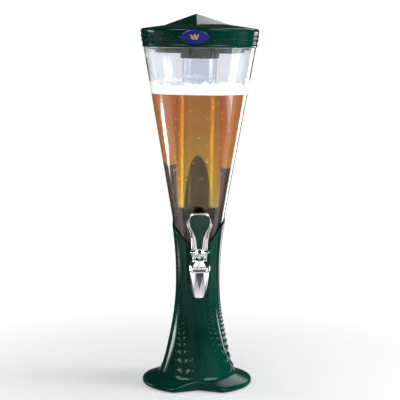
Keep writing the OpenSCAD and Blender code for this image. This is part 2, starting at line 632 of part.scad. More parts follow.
module marquise(w, h) {
    // two equal arcs that meet in points at the left and right
    rr = (w * w / 4 + h * h / 4) / h;
    intersection() {
        translate([0, rr - h / 2]) circle(rr);
        translate([0, -rr + h / 2]) circle(rr);
    }
}
module badge_blank(r0, r1, d) intersection() {
    translate([0, 0, badge_z]) rotate([90, 0, 0]) linear_extrude(150)
        marquise(badge_w - 2 * d, badge_h - d);
    difference() {
        translate([0, 0, badge_z - 20]) cylinder(r = r1, h = 40, $fn = 180);
        translate([0, 0, badge_z - 21]) cylinder(r = r0, h = 42, $fn = 180);
    }
}
badge_face_r = lid_r - 0.5;
module lid_badge() color([0.02, 0.02, 0.5]) lid_turned() difference() {
    badge_blank(lid_r - 5, badge_face_r, 0.15);
    sprig(badge_face_r - 0.5, lid_r + 4);
}
// plain leaf sprig: a lozenge seed between two pairs of leaves
module sprig_shape() {
    for (s = [-1, 1]) {
        translate([s * 4.6, 0.6]) rotate(s * 52) marquise(9, 3);
        translate([s * 3.4, -2.9]) rotate(s * 24) marquise(6.6, 2.4);
    }
    translate([0, 1.2]) rotate(90) marquise(7.4, 3.2);
}
module sprig(r0, r1) intersection() {
    translate([0, 0, badge_z]) rotate([90, 0, 0]) linear_extrude(150) sprig_shape();
    difference() {
        translate([0, 0, badge_z - 20]) cylinder(r = r1, h = 40, $fn = 180);
        translate([0, 0, badge_z - 21]) cylinder(r = r0, h = 42, $fn = 180);
    }
}
module badge_sprig() color([0.8, 0.62, 0.2]) lid_turned() sprig(badge_face_r - 0.5, badge_face_r + 0.4);

module lid_seal() color([0.8, 0.85, 0.85]) rotate_extrude($fn = 180) translate([0, rebate_top])
    polygon([[skirt_r, -1.5], [skirt_r + 1.6, -0.9], [skirt_r + 1.6, 1.1], [skirt_r, 1.7]]);

/* ice tube ---------------------------------------------------------------- */
collar_r = ice_r + 4.3;
collar_top = skirt_low_z;
collar_z = collar_top - 14.5;
tube_top = collar_z + 10.5;
ice_bottom_z = shoulder_z + ice_clear;
module ice_collar() color(green) difference() {
    translate([0, 0, collar_z]) cylinder(r = collar_r, h = collar_top - collar_z);
    translate([0, 0, collar_z - 1]) cylinder(r = ice_r + part_gap, h = tube_top + 2 - collar_z);
    for (a = [0:15:345]) rotate([0, 0, a]) translate([collar_r + 0.5, 0, collar_z - 1])
        cylinder(r = 1.3, h = 11, $fn = 24);
    translate([0, 0, collar_z]) cylinder(r = 2.2, h = 20, $fn = 32);
}
module ice_collar_screw() color([0.7, 0.7, 0.72]) difference() {
    union() {
        translate([0, 0, collar_top - 6]) cylinder(r = 2, h = 18, $fn = 32);
        translate([0, 0, collar_top - 6]) cylinder(r = 4.2, h = 3, $fn = 48);
    }
    translate([0, 0, collar_top - 7]) cylinder(r = 1.6, h = 3, $fn = 6);
}
module ice_seal() color(rubber_c) translate([0, 0, tube_top + 0.1]) difference() {
    cylinder(r = ice_r + 0.2, h = 0.9);
    translate([0, 0, -1]) cylinder(r = ice_r - 3, h = 3);
}
module ice_tube() color(clear_c) rotate_extrude($fn = 120) polygon([[0, ice_bottom_z],
    [ice_r - 9, ice_bottom_z], [ice_r - 4, ice_bottom_z + 1.2], [ice_r - 1, ice_bottom_z + 4],
    [ice_r, ice_bottom_z + 8], [ice_r, tube_top], [ice_r - ice_wall, tube_top],
    [ice_r - ice_wall, ice_bottom_z + 9], [ice_r - ice_wall - 1.5, ice_bottom_z + 5.2],
    [ice_r - ice_wall - 5, ice_bottom_z + 3.4], [0, ice_bottom_z + 2.4]]);

base_shell();
base_plate();
base_screws();
base_feet();
vessel_cushion();
vessel();
rim_ring();
shank_gasket_outer();
shank_gasket_mid();
shank_gasket_inner();
tap_shank();
shank_nut();
tap_body();
tap_spout();
spout_seal();
tap_bonnet();
bonnet_seal();
pivot_pin();
valve_stem();
valve_cup();
valve_spring();
tap_lever();
lever_inlay_front();
lever_inlay_back();
crank_pin();
lid();
lid_seal();
lid_badge();
badge_sprig();
ice_collar();
ice_collar_screw();
ice_seal();
ice_tube();
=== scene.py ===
"""Looks of a table-top drinks tower: twisted green foot, clear tapered vessel, chrome tap, lid and ice tube.

Sizes in the classes are in millimetres and repeat the construction's own; meshes are made in metres.
Angles round the tower are in degrees from the front (-Y) towards the right (+X).
"""
import logging
import math
from dataclasses import dataclass, field
from enum import Enum
from typing import Callable, Sequence

import bmesh
import bpy
from mathutils import Matrix, Vector, noise


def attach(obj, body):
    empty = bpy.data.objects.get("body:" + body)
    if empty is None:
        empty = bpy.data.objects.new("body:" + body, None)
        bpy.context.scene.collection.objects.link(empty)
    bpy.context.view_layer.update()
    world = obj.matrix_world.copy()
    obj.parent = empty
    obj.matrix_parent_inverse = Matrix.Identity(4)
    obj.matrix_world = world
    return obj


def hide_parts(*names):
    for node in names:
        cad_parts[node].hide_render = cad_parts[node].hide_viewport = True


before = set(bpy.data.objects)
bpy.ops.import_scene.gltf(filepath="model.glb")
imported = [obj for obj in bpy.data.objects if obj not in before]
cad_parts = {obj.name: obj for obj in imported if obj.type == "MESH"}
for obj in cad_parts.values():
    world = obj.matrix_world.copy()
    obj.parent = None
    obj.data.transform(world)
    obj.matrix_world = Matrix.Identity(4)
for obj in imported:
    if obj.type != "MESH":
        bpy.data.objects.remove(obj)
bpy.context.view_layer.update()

log = logging.getLogger("tower")

MM = 0.001  # metres in a millimetre
WELD = 1e-4  # points nearer than this, in millimetres, are joined
OUTSIDE = 9  # place across a wheat-ear band of what isn't on one
Point = tuple[float, float]
Corner = tuple[float, float, float]
Colour = tuple[float, float, float]
Place = Callable[[int, int], Vector]
Number = float | bpy.types.NodeSocket
WHITE: Colour = (1.0, 1.0, 1.0)


class Body(Enum):
    """The bodies that pieces ride on."""

    TOWER = "tower"
    LEVER = "lever"
    LID = "lid"
    ICE_TUBE = "ice_tube"


def clamp(value: float, low: float = 0.0, high: float = 1.0) -> float:
    """Value held between low and high."""
    return min(max(value, low), high)


def mix(a: float, b: float, t: float) -> float:
    """Value a share t of the way from a to b."""
    return a + (b - a) * t


def smooth(t: float) -> float:
    """Share t eased at both ends."""
    t = clamp(t)
    return t * t * (3 - 2 * t)


def around(radius: float, angle: float, height: float) -> Vector:
    """Point at a radius, an angle from the front and a height."""
    a = math.radians(angle)
    return Vector((radius * math.sin(a), -radius * math.cos(a), height))


def filleted(corners: Sequence[Corner], closed: bool = False, arc: int = 4) -> list[Point]:
    """Profile with its corners rounded.

    Args:
        corners: radius, height and the length that the rounding takes off each side, for each corner.
        closed: whether the last corner joins the first.
        arc: edges in each rounding.

    Returns:
        The points of the profile.
    """
    n = len(corners)
    points: list[Point] = []
    for i, (r, z, size) in enumerate(corners):
        if size <= 0 or (not closed and i in (0, n - 1)):
            points.append((r, z))
            continue
        here = Vector((r, z))
        before, after = Vector(corners[i - 1][:2]), Vector(corners[(i + 1) % n][:2])
        start = here + (before - here).normalized() * min(size, 0.48 * (before - here).length)
        end = here + (after - here).normalized() * min(size, 0.48 * (after - here).length)
        for k in range(arc + 1):
            t = k / arc
            p = start * (1 - t) ** 2 + here * 2 * t * (1 - t) + end * t * t
            points.append((p.x, p.y))
    return points


def flowing(corners: Sequence[Point], per_span: int) -> list[Point]:
    """Smooth line through the corners, with a number of points for each span."""
    last = len(corners) - 1
    points: list[Point] = []
    for i in range(last):
        p = [Vector(corners[min(max(i + k, 0), last)]) for k in (-1, 0, 1, 2)]
        for k in range(per_span):
            t = k / per_span
            q = 0.5 * ((2 * p[1]) + (p[2] - p[0]) * t + (2 * p[0] - 5 * p[1] + 4 * p[2] - p[3]) * t * t
                       + (3 * p[1] - p[0] - 3 * p[2] + p[3]) * t ** 3)
            points.append((q.x, q.y))
    return points + [corners[-1]]


class Form:
    """One mesh under construction, in millimetres."""

    def __init__(self) -> None:
        """Starts empty."""
        self.bm = bmesh.new()

    def joined(self, part: bmesh.types.BMesh) -> "Form":
        """Adds a mesh and ends it."""
        spare = bpy.data.meshes.new("spare")
        part.to_mesh(spare)
        part.free()
        self.bm.from_mesh(spare)
        bpy.data.meshes.remove(spare)
        return self

    def welded(self, part: bmesh.types.BMesh) -> "Form":
        """Joins the points of a mesh that meet, adds it and ends it."""
        bmesh.ops.remove_doubles(part, verts=part.verts, dist=WELD)
        bmesh.ops.recalc_face_normals(part, faces=part.faces)
        return self.joined(part)

    def take(self, other: "Form", turn: Matrix | None = None) -> "Form":
        """Adds another form, turned or moved, and ends it."""
        if turn is not None:
            bmesh.ops.transform(other.bm, matrix=turn, verts=other.bm.verts)
        return self.joined(other.bm)

    def turned(self, profile: Sequence[Point], steps: int = 96, closed: bool = False) -> "Form":
        """Spins a profile of radius and height round the upright axis.

        Args:
            profile: its points, from pole to pole, or a ring's section.
            steps: segments in a full turn.
            closed: whether the last point joins the first.

        Returns:
            The form itself.
        """
        part = bmesh.new()
        verts = [part.verts.new((r, 0, z)) for r, z in profile]
        edges = [part.edges.new(pair) for pair in zip(verts, verts[1:])]
        if closed:
            edges.append(part.edges.new((verts[-1], verts[0])))
        bmesh.ops.spin(part, geom=verts + edges, cent=(0, 0, 0), axis=(0, 0, 1), angle=math.tau, steps=steps,
                       use_merge=True)
        return self.welded(part)

    def draped(self, cols: int, rows: int, place: Place) -> "Form":
        """Lays a grid over a surface; edges that meet are joined.

        Args:
            cols: faces across.
            rows: faces up.
            place: gives the point for a column and a row.

        Returns:
            The form itself.
        """
        part = bmesh.new()
        bmesh.ops.create_grid(part, x_segments=cols, y_segments=rows, size=1)
        xs = [v.co.x for v in part.verts]
        ys = [v.co.y for v in part.verts]
        low, wide, deep = (min(xs), min(ys)), max(xs) - min(xs), max(ys) - min(ys)
        for v in part.verts:
            v.co = place(round((v.co.x - low[0]) / wide * cols), round((v.co.y - low[1]) / deep * rows))
        return self.welded(part)

    def capped(self) -> "Form":
        """Closes every open loop with a face."""
        bmesh.ops.holes_fill(self.bm, edges=self.bm.edges, sides=0)
        bmesh.ops.recalc_face_normals(self.bm, faces=self.bm.faces)
        return self

    def cut(self, point: Vector, normal: Vector) -> "Form":
        """Removes what lies on the normal's side of a plane and closes the cut."""
        geom = list(self.bm.verts) + list(self.bm.edges) + list(self.bm.faces)
        bmesh.ops.bisect_plane(self.bm, geom=geom, plane_co=point, plane_no=normal, clear_outer=True,
                               dist=1e-5)
        return self.capped()

    def bevelled(self, size: float, steeper: float, segments: int = 3) -> "Form":
        """Rounds the edges whose faces meet at more than an angle in degrees."""
        sharp = [e for e in self.bm.edges if len(e.link_faces) == 2
                 and math.degrees(e.calc_face_angle(0)) > steeper]
        bmesh.ops.bevel(self.bm, geom=sharp, offset=size, offset_type="OFFSET", segments=segments,
                        profile=0.5, affect="EDGES", material=-1, clamp_overlap=True)
        return self

    def placed(self, name: str) -> bpy.types.Object:
        """Turns the form into an object in metres, at the origin, and ends it."""
        bmesh.ops.scale(self.bm, vec=(MM, MM, MM), verts=self.bm.verts)
        mesh = bpy.data.meshes.new(name)
        self.bm.to_mesh(mesh)
        self.bm.free()
        thing = bpy.data.objects.new(name, mesh)
        bpy.context.scene.collection.objects.link(thing)
        return thing

    def made(self, name: str, body: Body, finish: "Finish", crease: float,
             stands_for: Sequence[str] = ()) -> None:
        """Turns the form into a finished piece.

        Args:
            name: the piece's name.
            body: what it rides on.
            finish: its material.
            crease: edges steeper than this many degrees stay sharp.
            stands_for: the CAD nodes that it replaces.
        """
        piece = self.placed(name)
        piece.data.shade_smooth()
        piece.data.set_sharp_from_angle(angle=math.radians(crease))
        finish.dress(piece)
        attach(piece, body.value)
        if stands_for:
            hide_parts(*stands_for)
        log.info("piece %s: %d faces on %s", name, len(piece.data.polygons), body.value)


class Recipe:
    """A node tree under construction."""

    def __init__(self, tree: bpy.types.NodeTree) -> None:
        """Empties the tree."""
        self.tree = tree
        tree.nodes.clear()

    def add(self, kind: str, **sockets: object) -> bpy.types.Node:
        """Adds a node; a socket's name has _ for a space, and a socket given as a value is joined."""
        node = self.tree.nodes.new("ShaderNode" + kind)
        for name, value in sockets.items():
            self.put(node, name.replace("_", " "), value)
        return node

    def put(self, node: bpy.types.Node, socket: str | int, value: object) -> None:
        """Sets an input or joins an output to it."""
        target = node.inputs[socket]
        if isinstance(value, bpy.types.NodeSocket):
            self.tree.links.new(value, target)
        elif isinstance(value, tuple) and len(value) == 3 and target.type == "RGBA":
            target.default_value = (*value, 1.0)
        else:
            target.default_value = value

    def grain(self, scale: float, detail: float = 3.0, stretch: Colour = (1, 1, 1)) -> bpy.types.NodeSocket:
        """Noise on Object coordinates, with its scale per metre."""
        place = self.add("TexCoord").outputs["Object"]
        mapped = self.add("Mapping", Vector=place, Scale=stretch).outputs["Vector"]
        return self.add("TexNoise", Vector=mapped, Scale=scale, Detail=detail).outputs["Fac"]

    def between(self, share: bpy.types.NodeSocket, low: Number, high: Number,
                start: float = 0.35, end: float = 0.65) -> bpy.types.NodeSocket:
        """Number from low to high as the share goes from start to end."""
        return self.add("MapRange", Value=share, From_Min=start, From_Max=end, To_Min=low,
                        To_Max=high).outputs["Result"]

    def figure(self, kind: str, first: Number, second: Number = 0.0) -> bpy.types.NodeSocket:
        """Result of a kind of sum of one or two numbers."""
        node = self.add("Math", Value=first)
        node.operation = kind
        self.put(node, 1, second)
        return node.outputs[0]

    def window(self, angle: bpy.types.NodeSocket, span: Point, soft: float) -> bpy.types.NodeSocket:
        """1 inside a span of degrees and 0 outside it, for an angle in radians."""
        low, high, edge = math.radians(span[0]), math.radians(span[1]), math.radians(soft)
        return self.figure("MULTIPLY", self.between(angle, 0.0, 1.0, low - edge, low + edge),
                           self.between(angle, 1.0, 0.0, high - edge, high + edge))

    def blend(self, share: bpy.types.NodeSocket, first: bpy.types.Node,
              second: bpy.types.Node) -> bpy.types.Node:
        """Shader that goes from the first to the second with the share."""
        node = self.add("MixShader", Fac=share)
        self.put(node, 1, first.outputs[0])
        self.put(node, 2, second.outputs[0])
        return node

    def shone_through(self, shader: bpy.types.Node, colour: Colour) -> bpy.types.Node:
        """Shader that lets the lamps' light through in a colour."""
        return self.blend(self.add("LightPath").outputs["Is Shadow Ray"], shader,
                          self.add("BsdfTransparent", Color=colour))

    def tint(self, share: bpy.types.NodeSocket, low: Colour, high: Colour) -> bpy.types.NodeSocket:
        """Colour from low to high by the share."""
        ramp = self.add("ValToRGB", Fac=share)
        ramp.color_ramp.elements[0].position, ramp.color_ramp.elements[1].position = 0.3, 0.7
        ramp.color_ramp.elements[0].color = (*low, 1)
        ramp.color_ramp.elements[1].color = (*high, 1)
        return ramp.outputs["Color"]

    def dents(self, height: bpy.types.NodeSocket, strength: float, depth: float) -> bpy.types.NodeSocket:
        """Normal with bumps of a depth in metres."""
        return self.add("Bump", Height=height, Strength=strength, Distance=depth).outputs["Normal"]

    def surface(self, shader: bpy.types.Node, volume: bpy.types.Node | None = None) -> None:
        """Ends the tree with its output."""
        out = self.add("OutputMaterial", Surface=shader.outputs[0])
        if volume is not None:
            self.put(out, "Volume", volume.outputs[0])


@dataclass(frozen=True)
class Finish:
    """A material and the record's slot that it belongs to."""

    name: str
    slot: str

    def dress(self, piece: bpy.types.Object) -> None:
        """Gives a piece this finish in every slot."""
        material = bpy.data.materials.get(self.name)
        if material is None:
            material = bpy.data.materials.new(self.name)
            material.use_nodes = True
            self.brew(Recipe(material.node_tree))
        if not piece.data.materials:
            piece.data.materials.append(material)
        for place in piece.material_slots:
            place.link = "OBJECT"
            place.material = material

    def brew(self, recipe: Recipe) -> None:
        """Builds the nodes."""
        raise NotImplementedError


@dataclass(frozen=True)
class Moulded(Finish):
    """Moulded plastic or rubber: uneven tone, fine grain, a gloss that varies a little."""

    dark: Colour = (0.0, 0.0, 0.0)
    light: Colour = (0.1, 0.1, 0.1)
    gloss: Point = (0.12, 0.2)
    grain_scale: float = 900.0
    grain_depth: float = 0.00004
    shine: float = 0.5

    def brew(self, recipe: Recipe) -> None:
        """Builds the nodes."""
        tone = recipe.tint(recipe.grain(14, 4), self.dark, self.light)
        rough = recipe.between(recipe.grain(70, 5), *self.gloss)
        normal = recipe.dents(recipe.grain(self.grain_scale, 2), 0.35, self.grain_depth)
        recipe.surface(recipe.add("BsdfPrincipled", Base_Color=tone, Roughness=rough, Normal=normal, IOR=1.5,
                                  Specular_IOR_Level=self.shine))


@dataclass(frozen=True)
class Metal(Finish):
    """Plated or bare metal: faint wipe marks in the gloss and ripples in the plating."""

    dark: Colour = (0.72, 0.73, 0.76)
    light: Colour = (0.9, 0.91, 0.93)
    gloss: Point = (0.05, 0.12)
    stretch: Colour = (1, 1, 1)
    ripple: float = 0.00003

    def brew(self, recipe: Recipe) -> None:
        """Builds the nodes."""
        tone = recipe.tint(recipe.grain(30, 3), self.dark, self.light)
        rough = recipe.between(recipe.grain(160, 6, self.stretch), *self.gloss)
        normal = recipe.dents(recipe.grain(240, 2, self.stretch), 0.25, self.ripple)
        recipe.surface(recipe.add("BsdfPrincipled", Base_Color=tone, Metallic=1.0, Roughness=rough,
                                  Normal=normal))


@dataclass(frozen=True)
class Clear(Finish):
    """Clear plastic that lets lamp light through, with slight haze and moulding waves."""

    dark: Colour = (0.83, 0.85, 0.9)
    light: Colour = (0.87, 0.89, 0.93)
    shadow: Colour = (0.93, 0.95, 0.97)
    haze: Point = (0.0, 0.03)
    bend: float = 1.49

    def brew(self, recipe: Recipe) -> None:
        """Builds the nodes."""
        tone = recipe.tint(recipe.grain(6, 2), self.dark, self.light)
        rough = recipe.between(recipe.grain(25, 4), *self.haze)
        wave = recipe.dents(recipe.grain(9, 1), 0.12, 0.0006)
        wall = recipe.add("BsdfPrincipled", Base_Color=tone, Roughness=rough, IOR=self.bend,
                          Transmission_Weight=1.0, Normal=wave)
        recipe.surface(recipe.shone_through(wall, self.shadow))


@dataclass(frozen=True)
class Lager(Finish):
    """The drink: clear amber that deepens with its thickness."""

    depth_colour: Colour = (0.945, 0.787, 0.0)
    density: float = 72.0
    shadow: Colour = (0.95, 0.75, 0.35)
    bend: float = 1.34

    def brew(self, recipe: Recipe) -> None:
        """Builds the nodes."""
        rough = recipe.between(recipe.grain(40, 2), 0.0, 0.02)
        body = recipe.add("BsdfPrincipled", Base_Color=WHITE, Roughness=rough, IOR=self.bend,
                          Transmission_Weight=1.0)
        recipe.surface(recipe.shone_through(body, self.shadow),
                       recipe.add("VolumeAbsorption", Color=self.depth_colour, Density=self.density))


@dataclass(frozen=True)
class Froth(Finish):
    """Foam: white cells with soft shade between them, some light caught inside, and a painted glow that
    brightens it where it is shaded.
    """

    dark: Colour = (0.88, 0.87, 0.84)
    light: Colour = (0.97, 0.97, 0.96)
    # strength of the painted glow: white emission that stands in for light on the foam's shaded sides
    painted_glow: float = 0.4

    def brew(self, recipe: Recipe) -> None:
        """Builds the nodes."""
        place = recipe.add("TexCoord").outputs["Object"]
        cells = recipe.add("TexVoronoi", Vector=place, Scale=420.0).outputs["Distance"]
        tone = recipe.tint(recipe.grain(110, 4), self.dark, self.light)
        # the emission is painted light: a white glow that keeps the foam bright where the lamps leave it in
        # shade
        recipe.surface(recipe.add("BsdfPrincipled", Base_Color=tone, Roughness=0.55, Subsurface_Weight=0.3,
                                  Subsurface_Scale=0.004, Emission_Color=WHITE,
                                  Emission_Strength=self.painted_glow, Normal=recipe.dents(cells, 0.5, 0.0008)))


GREEN = Moulded("green_moulding", "green_plastic", (0.0002, 0.038, 0.024), (0.0005, 0.06, 0.039), (0.1, 0.16),
                shine=0.11)
DARK = Moulded("dark_moulding", "dark_plastic", (0.0005, 0.016, 0.011), (0.001, 0.026, 0.018), (0.22, 0.34),
               shine=0.3)
RUBBER = Moulded("black_rubber", "black_rubber", (0.012, 0.012, 0.012), (0.03, 0.03, 0.03), (0.5, 0.7),
                 grain_depth=0.0002)
SILICONE = Moulded("milky_silicone", "silicone", (0.6, 0.63, 0.63), (0.75, 0.78, 0.78), (0.35, 0.5))
INLAY = Moulded("inlay_green", "inlay_green", (0.0, 0.016, 0.006), (0.0004, 0.028, 0.012), (0.06, 0.12),
                grain_depth=0.00001, shine=0.12)
BLUE = Moulded("badge_blue", "badge_blue", (0.0004, 0.001, 0.3), (0.001, 0.003, 0.5), (0.08, 0.14),
               grain_depth=0.00001, shine=0.15)
CHROME = Metal("tap_chrome", "tap_chrome")
STEEL = Metal("screw_steel", "screw_steel", (0.5, 0.5, 0.52), (0.66, 0.66, 0.68), (0.22, 0.36), (1, 1, 14))
GOLD = Metal("badge_gold", "badge_gold", (0.62, 0.4, 0.09), (0.83, 0.6, 0.2), (0.16, 0.28))
VESSEL_CLEAR = Clear("vessel_clear", "clear_plastic")
TUBE_CLEAR = Clear("tube_clear", "clear_tube")
LAGER = Lager("drink", "clear_plastic")
FROTH = Froth("froth", "silicone")


@dataclass
class Foot:
    """Flange with its V notches, twisted column with creases and wheat ears, leaves round the vessel."""

    vessel: "Vessel"
    flange_r: float = 96.2
    flange_edge_h: float = 9.0
    flange_crown_h: float = 19.0
    notch_r: float = 70.5
    notch_half_a: float = 26.0
    foot_proud: float = 1.5
    column_foot_r: float = 68.2
    waist_r: float = 38.4
    waist_z: float = 185.0
    bore_r: float = 33.2
    twist_a: float = 46.0
    crease_low: float = 0.1
    rim_front_z: float = 238.0
    rim_side_rise: float = 45.0
    rim_back_rise: float = 157.0
    rim_lean: float = 5.5
    leaf_t: float = 2.65
    fit: float = 0.3
    grain_h: float = 1.4
    creases: tuple[float, ...] = (0, 88, 180, 268)
    bands: tuple[float, ...] = (58, 105, 238, 341)
    chevrons: list[float] = field(default_factory=list)

    def __post_init__(self) -> None:
        """Works out the heights of the chevrons."""
        z = 26.0
        while z < 400:
            self.chevrons.append(z)
            z += self.pitch(z)

    def radius(self, z: float) -> float:
        """Column's radius between its creases."""
        taper = self.vessel.taper
        rise = 2 * (self.waist_r - self.vessel.radius(self.waist_z) - self.leaf_t) / taper
        if z < self.waist_z:
            low = (self.column_foot_r - self.waist_r) / (self.waist_z - self.flange_crown_h) ** 2
            return self.waist_r + low * (self.waist_z - z) ** 2 + 0.9 * clamp((23 - z) / 4) ** 2
        if z < self.waist_z + rise:
            return self.waist_r + taper / (2 * rise) * (z - self.waist_z) ** 2
        return self.vessel.radius(z) + self.leaf_t

    def inner(self, z: float) -> float:
        """Radius of the seat for the vessel and of the bore under it."""
        low, high = self.vessel.neck_top_z, self.vessel.shoulder_z
        if z > high:
            return self.vessel.radius(z) + self.fit
        return mix(self.bore_r, self.vessel.radius(high) + self.fit, clamp((z - low) / (high - low)))

    def twist(self, z: float) -> float:
        """Turn of the leaves at a height."""
        return -self.twist_a * math.sin(math.radians(90 * clamp((z - 20) / 245)))

    def crease_depth(self, z: float) -> float:
        """Depth of the creases as a share of the radius."""
        top = 0.45 * self.crease_low
        if z < 55:
            return self.crease_low * clamp((z - 20) / 35)
        if z < 150:
            return mix(self.crease_low, top, (z - 55) / 95)
        return top * clamp(1 - (z - self.rim_front_z) / 60)

    def crease_near(self, a: float) -> float:
        """How near an angle is to a crease, from 0 to 1 in it."""
        return max(clamp(1 - abs(a - c) / 26) ** 2 for c in (*self.creases, 360))

    def rim_z(self, a: float) -> float:
        """Height of the leaf rim at an angle."""
        b = abs((a + 180) % 360 - 180)
        lean = math.sin(math.radians(a))
        if b < 90:
            rise = self.rim_side_rise * math.sin(math.radians(b)) ** 1.6
        else:
            rise = mix(self.rim_side_rise, self.rim_back_rise, (1 - math.cos(math.radians(2 * (b - 90)))) / 2)
        return self.rim_front_z + rise + self.rim_lean * lean * abs(lean)

    def band_half(self, z: float) -> float:
        """Half width of a wheat-ear band in degrees."""
        return 6.5 + 9.5 * clamp((165 - z) / 125) ** 1.3

    def pitch(self, z: float) -> float:
        """Height from one chevron to the next."""
        return 0.46 * 2 * self.band_half(z) * self.radius(z) * math.pi / 180

    def grain(self, s: float, z: float) -> float:
        """Relief at a place across the band, from -1 to 1, and a height along its chevrons."""
        ground = -0.35
        if z < self.chevrons[0] or z >= self.chevrons[-1]:
            return ground
        k = next(i for i in range(len(self.chevrons) - 1) if z < self.chevrons[i + 1])
        phase = (z - self.chevrons[k]) / (self.chevrons[k + 1] - self.chevrons[k])
        along = (abs(s) - 0.5) / 0.47
        half = 0.26 * max(1 - along * along, 0.0) ** 0.8
        if half < 0.02:
            return ground
        return ground + 1.25 * math.sqrt(max(1 - ((phase - 0.5) / half) ** 2, 0.0)) * min(1.0, half / 0.12)

    def columns(self) -> list[tuple[float, float, float]]:
        """Columns of the skin: base angle, band halves that are added to it, and place across the band."""
        stops: list[tuple[float, int]] = [(0, 0)]
        for band, crease in zip(self.bands, (*self.creases[1:], 360)):
            stops += [(band, 1), (crease, 0)]
        cols: list[tuple[float, float, float]] = []
        for (a, is_a), (b, is_b) in zip(stops, stops[1:]):
            plain = max(4, round((abs(b - a) - 10) / 3.4))
            cols += [(mix(a, b, k / plain), mix(is_a, -is_b, k / plain), OUTSIDE) for k in range(plain)]
            if is_b:
                cols += [(b, k / 12, k / 12) for k in range(-12, 12)]
        return cols

    def skin(self, col: tuple[float, float, float], zk: float, share: float) -> Vector:
        """Point of the outer skin.

        Args:
            col: column of the skin.
            zk: height of the row, before the chevrons bend it.
            share: share of the way from the straight rows to the leaf rim.

        Returns:
            The point.
        """
        a0 = col[0] + col[1] * self.band_half(zk)
        top = self.rim_z(a0 + self.twist(zk if share == 0 else 265))
        height = zk if share == 0 else mix(zk, top, share)
        on = col[2] != OUTSIDE
        ease = clamp((zk - 21.5) / 4.5) * clamp((top - height) / 9)
        v = 0.5 * self.pitch(height) * (1 - abs(col[2])) * ease if on else 0.0
        z = height - v
        r = self.radius(z) * (1 - self.crease_depth(z) * self.crease_near(a0))
        if on:
            edge = smooth((1 - abs(col[2])) / 0.12)
            r += self.grain_h * self.grain(col[2], height) * edge * ease
        return around(r, a0 + self.twist(z), z)

    def column(self) -> Form:
        """Column and leaves as one closed shell."""
        cols = self.columns()
        low = [14.0, 17.0, 18.6, 19.8, 21.0, 22.5, 24.2]
        last = max(i for i, z in enumerate(self.chevrons) if z < self.rim_front_z - 7)
        for i in range(last):
            low += [mix(self.chevrons[i], self.chevrons[i + 1], k / 10) for k in range(10)]
        low.append(self.chevrons[last])
        join = low[-1]
        high, cap, down = 90, 6, 24
        under = [(33.2, 190), (33.2, 150), (35.9, 117.4), (40.5, 84.8), (47.5, 52), (52, 19.5), (54, 15)]
        rows = len(low) + high + cap + down + len(under)
        tops = [self.skin(c, join, 1.0) for c in cols]

        def place(i: int, j: int) -> Vector:
            """Point of a column and a row; the last of each is the first again."""
            i, j = i % len(cols), j % rows
            if j < len(low):
                return self.skin(cols[i], low[j], 0.0)
            j -= len(low)
            if j < high:
                return self.skin(cols[i], join, (j + 1) / high)
            top = tops[i]
            outer = math.hypot(top.x, top.y)
            angle = math.degrees(math.atan2(top.x, -top.y))
            inner = self.inner(top.z)
            j -= high
            if j < cap:
                turn = math.pi * (j + 1) / (cap + 1)
                half = (outer - inner) / 2
                return around((outer + inner) / 2 + half * math.cos(turn), angle,
                              top.z + min(half, 1.1) * math.sin(turn))
            j -= cap
            if j < down:
                z = mix(top.z, self.vessel.neck_top_z, j / (down - 1))
                return around(self.inner(z), angle, z)
            r, z = under[j - down]
            return around(r, angle, z)

        return Form().draped(len(cols), rows, place)

    def outline(self, a: float) -> float:
        """Flange's radius at an angle, with softened corners at the notches."""
        b = abs((a + 180) % 360 - 180)
        b = min(b, 180 - b)
        if b > 50:
            return self.flange_r
        half = math.radians(self.notch_half_a)
        dx, dy = self.flange_r * math.sin(half), self.flange_r * math.cos(half) - self.notch_r
        line = self.notch_r * dx / (math.cos(math.radians(b)) * dx - math.sin(math.radians(b)) * dy)
        soft = 0.7
        return -soft * math.log(math.exp(-(self.flange_r - 90) / soft) + math.exp(-(line - 90) / soft)) + 90

    def flange(self) -> Form:
        """Standing flange as one closed ring."""
        quarter = [self.notch_half_a * k / 12 for k in range(12)]
        quarter += [mix(self.notch_half_a, 90, k / 24) for k in range(24)]
        angles = quarter + [180 - q for q in reversed(quarter[1:])] + [180 + q for q in quarter]
        angles = sorted({round(a, 4) for a in angles + [90.0, 270.0] + [360 - q for q in quarter[1:]]})
        slope = (self.flange_crown_h - self.flange_edge_h) / (self.flange_r - 1.5 - self.notch_r + 2)

        def top(r: float) -> float:
            """Height of the flange's upper side."""
            return min(self.flange_crown_h, self.flange_crown_h - (r - self.notch_r + 2) * slope)

        def place(i: int, j: int) -> Vector:
            """Point of the ring."""
            a = angles[i % len(angles)]
            edge = self.outline(a)
            rows = [(57, 4), (66, 4), (66, self.foot_proud), (edge - 1.3, self.foot_proud),
                    (edge - 0.5, self.foot_proud + 0.25), (edge, self.foot_proud + 1.1),
                    (edge, top(edge) - 2.2), (edge - 0.3, top(edge) - 1.1), (edge - 1.0, top(edge) - 0.35),
                    (edge - 2.0, top(edge - 2.0))]
            rows += [(mix(edge - 2.0, 64, k / 8), top(mix(edge - 2.0, 64, k / 8))) for k in range(1, 9)]
            rows += [(58, 18.8)]
            r, z = rows[j % len(rows)]
            return around(r, a, z)

        return Form().draped(len(angles), 19, place)

    def boss(self) -> Form:
        """Round seat for the tap's flange on the front of the column."""
        profile = filleted([(0, 32, 0), (15, 32, 0), (15, 43, 1.4), (0, 43, 0)])
        turn = Matrix.Translation((0, 0, 218.5)) @ Matrix.Rotation(math.radians(90), 4, "X")
        return Form().take(Form().turned(profile, 64), turn)

    def build(self) -> None:
        """Makes the foot's shell."""
        shell = self.column().take(self.flange()).take(self.boss())
        shell.made("foot_shell", Body.TOWER, GREEN, 42, ["base_shell"])


